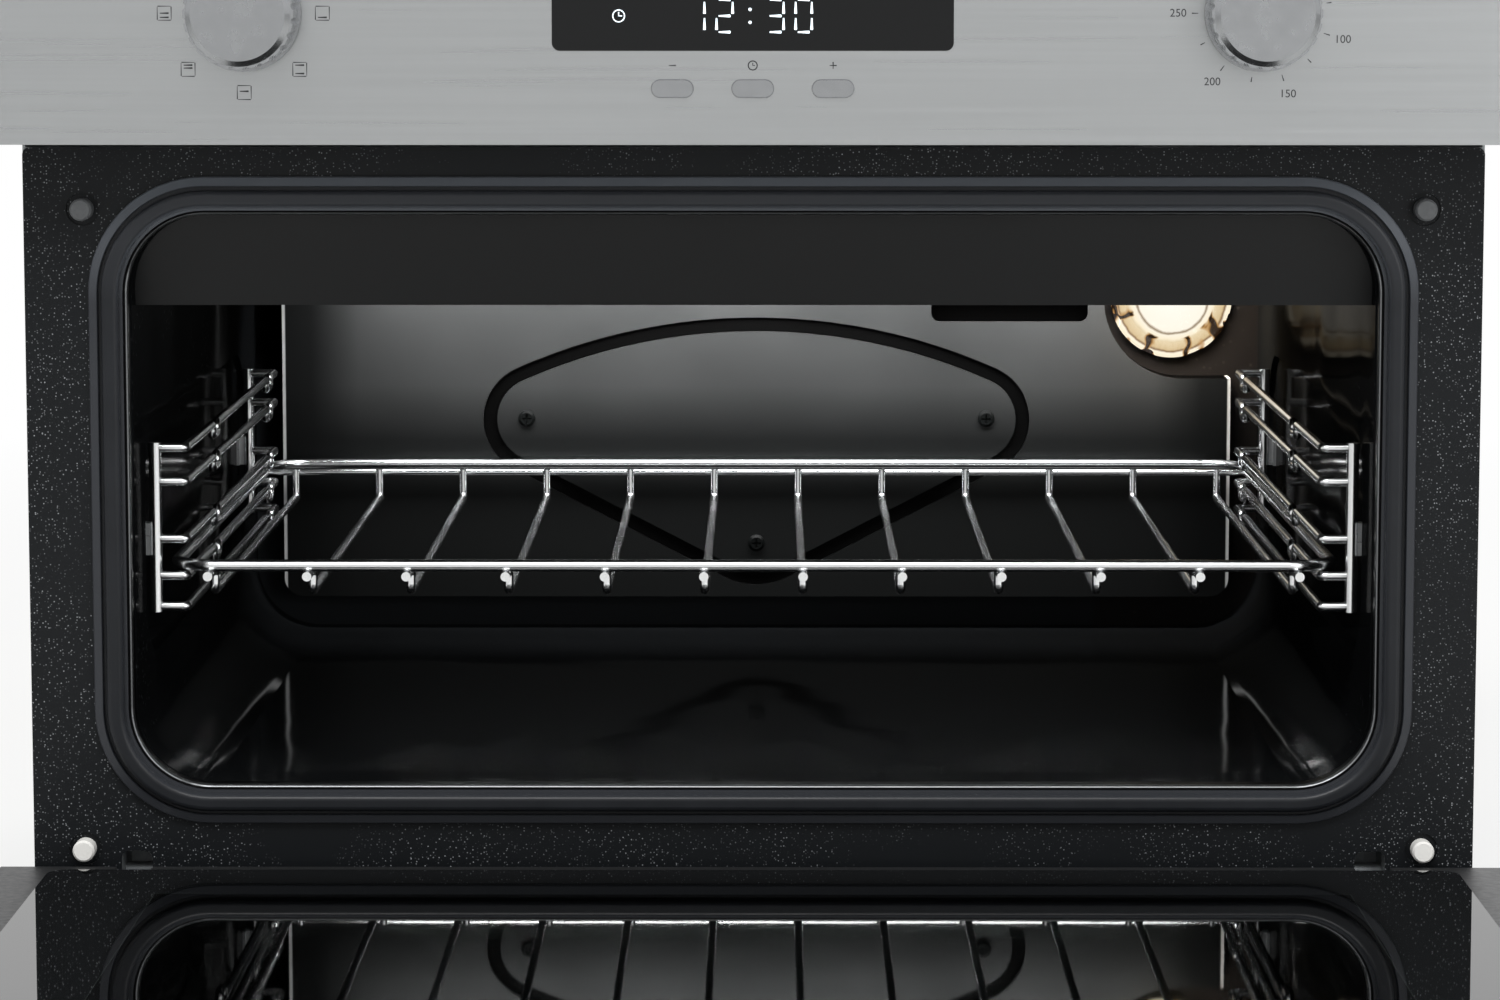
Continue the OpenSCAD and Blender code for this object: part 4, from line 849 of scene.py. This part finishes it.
def disc(bm, x, z, radius, hole=0.0, y=FACE_Y):
    rim = bmesh.ops.create_circle(bm, cap_ends=True, segments=28, radius=radius)["verts"]
    bmesh.ops.transform(bm, verts=rim, matrix=Matrix.Translation((x, y, z)) @ FACING)
    faces = [rim[0].link_faces[0]]
    if hole:
        ring = bmesh.ops.inset_region(
            bm, faces=faces, thickness=radius - hole, use_boundary=True)["faces"]
        bmesh.ops.delete(bm, geom=faces, context="FACES")
        faces = ring
    raise_faces(bm, faces, INK)


def round_the_dial(centre_x, centre_z, degrees, radius):
    angle = math.radians(degrees)
    return centre_x + radius * math.sin(angle), centre_z + radius * math.cos(angle)


ink = finish("screen_print_ink", "#1d1e20", "#242527", pitch=0.8, rough=(0.5, 0.6), bump=0.1,
             IOR=1.5)
print("ink for the marks:", ink.name)

# %% [markdown]
# ## The function dial's signs
# The function dial has eight stops 45 degrees apart. The first is a dot for off. Each of
# the others has a small framed sign for what heats: a line at the top for the grill, one
# at the bottom for the lower heat, and so on. The frame is four strokes from corner to
# corner, so that signs and lines come from one helper.

# %% Function marks
MARK_RADIUS = 29.5 * MM
DOT_RADIUS = MARK_RADIUS - 3 * MM
DOT = 0.9 * MM
SIGN = 2.6 * MM
SIGN_FRAME = 0.35 * MM
SIGN_LINE = 0.6 * MM
SIGN_LEVELS = {45: (1,), 90: (-1,), 135: (1, -1), 180: (0.3,), 225: (1, 0.3), 270: (0, -1),
               315: (1, 0, -1)}

knob_low, knob_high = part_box("function_knob")
dial_x = (knob_low.x + knob_high.x) / 2
dial_z = (knob_low.z + knob_high.z) / 2
signs = bmesh.new()
disc(signs, *round_the_dial(dial_x, dial_z, 0, DOT_RADIUS), DOT)
for degrees, levels in SIGN_LEVELS.items():
    x, z = round_the_dial(dial_x, dial_z, degrees, MARK_RADIUS)
    corners = [(x + across * SIGN, z + up * SIGN)
               for across, up in ((-1, -1), (1, -1), (1, 1), (-1, 1))]
    for i in range(4):
        stroke(signs, corners[i], corners[(i + 1) % 4], SIGN_FRAME)
    for level in levels:
        height = z + level * SIGN * 0.6
        stroke(signs, (x - SIGN * 0.62, height), (x + SIGN * 0.62, height), SIGN_LINE)
new_piece("function_marks", signs, ink, "root")
print("function stops:", len(SIGN_LEVELS) + 1)

# %% [markdown]
# ## The temperature dial's scale
# The temperature dial has a dot for off and then a tick every 27 degrees. Each second
# tick is a little longer, because it carries a number.

# %% Temperature ticks
TICK_STEP = 27
TICKS = 10
TICK_INNER = 24 * MM
SHORT_TICK = 25.8 * MM
LONG_TICK = 26.4 * MM
TICK_WIDTH = 0.4 * MM

warm_low, warm_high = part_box("temperature_knob")
warm_x = (warm_low.x + warm_high.x) / 2
ticks = bmesh.new()
disc(ticks, *round_the_dial(warm_x, dial_z, 0, DOT_RADIUS), DOT)
for step in range(1, TICKS + 1):
    reach = SHORT_TICK if step % 2 else LONG_TICK
    inner = round_the_dial(warm_x, dial_z, TICK_STEP * step, TICK_INNER)
    outer = round_the_dial(warm_x, dial_z, TICK_STEP * step, reach)
    stroke(ticks, inner, outer, TICK_WIDTH)
new_piece("temperature_ticks", ticks, ink, "root")
print("ticks:", TICKS, "the last at", TICKS * TICK_STEP, "degrees")

# %% [markdown]
# ## The temperature dial's numbers
# The numbers come from the built-in font. Text is a curve in Blender, so it is turned into
# a mesh first, and its turn and its place go into that mesh, not onto the object.

# %% Temperature numbers
NUMBER_RADIUS = 31.5 * MM
NUMBER_SIZE = 4.2 * MM
NUMBER_STEP = 50


def number(text, x, z):
    curve = bpy.data.curves.new("number_" + text, "FONT")
    curve.body = text
    curve.size = NUMBER_SIZE
    curve.align_x = "CENTER"
    curve.align_y = "CENTER"
    curve.extrude = INK / 2
    written = bpy.data.objects.new("written_" + text, curve)
    bpy.context.scene.collection.objects.link(written)
    bpy.context.view_layer.update()
    graph = bpy.context.evaluated_depsgraph_get()
    data = bpy.data.meshes.new_from_object(written.evaluated_get(graph))
    bpy.data.objects.remove(written)
    data.transform(Matrix.Translation((x, FACE_Y - INK / 2, z)) @ FACING)
    piece = bpy.data.objects.new("number_" + text, data)
    bpy.context.scene.collection.objects.link(piece)
    data.materials.clear()
    data.materials.append(ink)
    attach(piece, "root")


for step in range(2, TICKS + 1, 2):
    x, z = round_the_dial(warm_x, dial_z, TICK_STEP * step, NUMBER_RADIUS)
    number(str(NUMBER_STEP * step // 2), x, z)
print("numbers up to", NUMBER_STEP * TICKS // 2)

# %% [markdown]
# ## Signs over the buttons
# Above the buttons stand a minus, a clock face and a plus, so that the keys themselves
# stay plain. The clock face is a ring with two short hands.

# %% Button signs
SIGN_LIFT = 3.6 * MM
BAR_HALF = 1.3 * MM
BAR_WIDTH = 0.45 * MM
HAND_WIDTH = 0.35 * MM

symbols = bmesh.new()
for name in ("button_minus", "button_mode", "button_plus"):
    low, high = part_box(name)
    x, z = (low.x + high.x) / 2, high.z + SIGN_LIFT
    if name == "button_mode":
        disc(symbols, x, z, 1.9 * MM, hole=1.45 * MM)
        stroke(symbols, (x, z), (x, z + 0.9 * MM), HAND_WIDTH)
        stroke(symbols, (x, z), (x + 0.7 * MM, z), HAND_WIDTH)
    else:
        stroke(symbols, (x - BAR_HALF, z), (x + BAR_HALF, z), BAR_WIDTH)
    if name == "button_plus":
        stroke(symbols, (x, z - BAR_HALF), (x, z + BAR_HALF), BAR_WIDTH)
new_piece("button_signs", symbols, ink, "root")
print("signs stand", round(SIGN_LIFT / MM, 1), "mm over the buttons")

# %% [markdown]
# ## The clock
# The clock shows 12:30 in glowing bars of seven segments, the way a fluorescent display
# does. The phosphor is pale blue-white and a little uneven. Each digit names its segments,
# each segment runs between two points of a grid one wide and two high, and the bars stop
# short of the points, so that they stay apart.

# %% Clock digits
SEGMENTS = {"1": "bc", "2": "abged", "3": "abgcd", "0": "abcdef"}
ENDS = {"a": ((0, 2), (1, 2)), "b": ((1, 2), (1, 1)), "c": ((1, 1), (1, 0)),
        "d": ((0, 0), (1, 0)), "e": ((0, 1), (0, 0)), "f": ((0, 2), (0, 1)),
        "g": ((0, 1), (1, 1))}
DIGIT = 6 * MM
GAP = 0.9 * MM
BAR = 0.9 * MM
LEFT_SIDES = (-24 * MM, -13.5 * MM, 5.5 * MM, 16 * MM)
COLON_X = -1 * MM
ICON_X = -50 * MM
ICON_HAND = 0.4 * MM
PHOSPHOR_PITCH = 1.5 * MM

phosphor, tree, shader, coords = start(
    "display_phosphor", Roughness=0.4, Emission_Strength=0.9)
flicker = add(tree, "ShaderNodeTexNoise", {"Vector": coords, "Scale": 1 / PHOSPHOR_PITCH})
shine = add(tree, "ShaderNodeMix", {
    "Factor": flicker.outputs["Fac"], "A": linear("#dff2ff"), "B": linear("#f4fbff")},
    data_type="RGBA")
tree.links.new(shine.outputs["Result"], shader.inputs["Emission Color"])
tree.links.new(shine.outputs["Result"], shader.inputs["Base Color"])

window_low, window_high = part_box("display_window")
glass_y = window_low.y
base_z = (window_low.z + window_high.z) / 2 - 15 * MM
middle_z = base_z + DIGIT
clock = bmesh.new()
for figure, left in zip("1230", LEFT_SIDES):
    for segment in SEGMENTS[figure]:
        a, b = [Vector((left + x * DIGIT, base_z + z * DIGIT)) for x, z in ENDS[segment]]
        along = (b - a).normalized() * GAP
        stroke(clock, a + along, b - along, BAR, y=glass_y)
for level in (0.6, 1.4):
    disc(clock, COLON_X, base_z + level * DIGIT, 0.6 * MM, y=glass_y)
disc(clock, ICON_X, middle_z, 2.4 * MM, hole=2.0 * MM, y=glass_y)
stroke(clock, (ICON_X, middle_z), (ICON_X, middle_z + 1.4 * MM), ICON_HAND, y=glass_y)
stroke(clock, (ICON_X, middle_z), (ICON_X + 1.2 * MM, middle_z), ICON_HAND, y=glass_y)
new_piece("clock_digits", clock, phosphor, "root")
print("clock in a window of", round((window_high.x - window_low.x) / MM), "mm")

# %% [markdown]
# ## Pointer lines
# Each knob has a groove that points at its mark. A dark inlay with pointed ends fills it
# to just under the face, and turns with the knob.

# %% Pointer inlays
POINTER_INNER = 9.4 * MM
POINTER_OUTER = 16.2 * MM
POINTER_WIDTH = 1.3 * MM
POINTER_DEPTH = 0.75 * MM
POINTER_THICKNESS = 0.35 * MM

for knob, body in (("function_knob", "function_dial"), ("temperature_knob", "temperature_dial")):
    low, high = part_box(knob)
    x = (low.x + high.x) / 2
    inlay = bmesh.new()
    stroke(inlay, (x, dial_z + POINTER_INNER), (x, dial_z + POINTER_OUTER), POINTER_WIDTH,
           y=low.y + POINTER_DEPTH, height=POINTER_THICKNESS)
    new_piece(knob + "_pointer", inlay, ink, body)
print("pointers", round((POINTER_OUTER - POINTER_INNER) / MM, 1), "mm long on both knobs")

# %% [markdown]
# ## The floor
# A plain pale floor carries the oven's shadow. The camera sees it lifted towards white,
# with the shadows kept near the oven, and nothing of it is left where it would meet the
# backdrop. The lift is an emission that only camera rays see, so it lights nothing.

# %% Floor
FLOOR_HALF = 12.0
SHADOW_KEPT_TO = 0.7
WHITE_FROM = 2.2

floor_mesh = bmesh.new()
bmesh.ops.create_grid(floor_mesh, x_segments=4, y_segments=4, size=FLOOR_HALF)
floor_data = bpy.data.meshes.new("floor")
floor_mesh.to_mesh(floor_data)
floor_mesh.free()
floor_object = bpy.data.objects.new("floor", floor_data)
bpy.context.scene.collection.objects.link(floor_object)
floor_paint = finish("pale_floor", "#eeeeec", "#f2f2f0", pitch=40, rough=(0.6, 0.7), bump=0.02)
floor_data.materials.append(floor_paint)

tree = floor_paint.node_tree
surface = tree.nodes["Material Output"].inputs["Surface"]
lifted = add(tree, "ShaderNodeEmission", {"Color": linear("#ffffff"), "Strength": 1.0})
ray = add(tree, "ShaderNodeLightPath", {})
spot = add(tree, "ShaderNodeTexCoord", {})
away = add(tree, "ShaderNodeVectorMath", {0: spot.outputs["Object"]}, operation="LENGTH")
lift = add(tree, "ShaderNodeMapRange", {
    "Value": away.outputs["Value"], "From Min": SHADOW_KEPT_TO, "From Max": WHITE_FROM,
    "To Min": 0.6, "To Max": 1.0})
share = add(tree, "ShaderNodeMath", {0: ray.outputs["Is Camera Ray"], 1: lift.outputs["Result"]},
            operation="MULTIPLY")
blend = add(tree, "ShaderNodeMixShader", {
    "Fac": share.outputs[0], 1: tree.nodes["Principled BSDF"].outputs["BSDF"],
    2: lifted.outputs[0]})
tree.links.new(blend.outputs[0], surface)
print("floor", round(2 * FLOOR_HALF), "m wide, white from", WHITE_FROM, "m away")

# %% [markdown]
# ## Lights in the room
# Soft area lights stand in front, at the right and behind, and aim at the oven's middle.
# They are large for their distance, so shadows and highlights have soft edges.

# %% Lights in the room
def area_light(name, place, target, width, height, power):
    data = bpy.data.lights.new(name, "AREA")
    data.shape = "RECTANGLE"
    data.size = width
    data.size_y = height
    data.energy = power
    light = bpy.data.objects.new(name, data)
    light.location = place
    light.rotation_euler = (Vector(target) - Vector(place)).to_track_quat("-Z", "Y").to_euler()
    bpy.context.scene.collection.objects.link(light)
    return light


middle = (0, -0.1, 0.22)
area_light("key", (-0.35, -1.7, 2.2), middle, width=1.6, height=1.0, power=52)
area_light("fill", (1.2, -1.7, 0.9), middle, width=0.9, height=1.4, power=11)
area_light("rim", (0.8, 1.7, 2.0), middle, width=1.8, height=1.2, power=16)

# %% [markdown]
# ## Lights in the cavity
# A small warm light hangs in front of the lamp, and a strip under the ceiling grazes the
# rear panel. The camera doesn't see the strip, and the walls don't mirror the warm light,
# because the lamp's own glass glows there already.

# %% Lights in the cavity
GLOW_GAP = 24 * MM
GLOW_SIZE = 18 * MM
STRIP_X = 14 * MM
STRIP_GAP = 60 * MM
STRIP_DROP = 18 * MM
STRIP_AIM_DROP = 40 * MM

glow = bpy.data.lights.new("cavity_glow", "POINT")
glow.energy = 0.35
glow.color = linear("#ffe2b4")[:3]
glow.shadow_soft_size = GLOW_SIZE
glow_object = bpy.data.objects.new("cavity_glow", glow)
glow_object.location = (lamp.x, lens_low.y - GLOW_GAP, lamp.z)
glow_object.visible_glossy = False
bpy.context.scene.collection.objects.link(glow_object)

strip = area_light("ceiling_strip",
                   (STRIP_X, panel_low.y - STRIP_GAP, liner_high.z - STRIP_DROP),
                   (STRIP_X, panel_low.y, panel_high.z - STRIP_AIM_DROP),
                   width=0.4, height=0.06, power=2.1)
strip.visible_camera = False
strip.data.spread = math.radians(120)

# %% [markdown]
# ## The backdrop
# The world lights the oven evenly, at less than half strength. The camera, the mirrors and
# the panes see it as a plain white backdrop instead, so bright metal has something to
# mirror, while matt surfaces get no more light from it.

# %% World
world = bpy.data.worlds.new("studio")
bpy.context.scene.world = world
world.use_nodes = True
tree = world.node_tree
tree.nodes.clear()
path = add(tree, "ShaderNodeLightPath", {})
mirrored = add(tree, "ShaderNodeMath", {
    0: path.outputs["Is Glossy Ray"], 1: path.outputs["Is Transmission Ray"]},
    operation="MAXIMUM")
seen = add(tree, "ShaderNodeMath", {0: path.outputs["Is Camera Ray"], 1: mirrored.outputs[0]},
           operation="MAXIMUM")
even = add(tree, "ShaderNodeBackground", {"Color": linear("#ffffff"), "Strength": 0.45})
white = add(tree, "ShaderNodeBackground", {"Color": linear("#ffffff"), "Strength": 1.0})
final = add(tree, "ShaderNodeMixShader", {
    "Fac": seen.outputs[0], 1: even.outputs[0], 2: white.outputs[0]})
add(tree, "ShaderNodeOutputWorld", {"Surface": final.outputs[0]})
bpy.context.scene.view_settings.view_transform = "Standard"
print("world:", world.name, "with the", bpy.context.scene.view_settings.view_transform, "view")
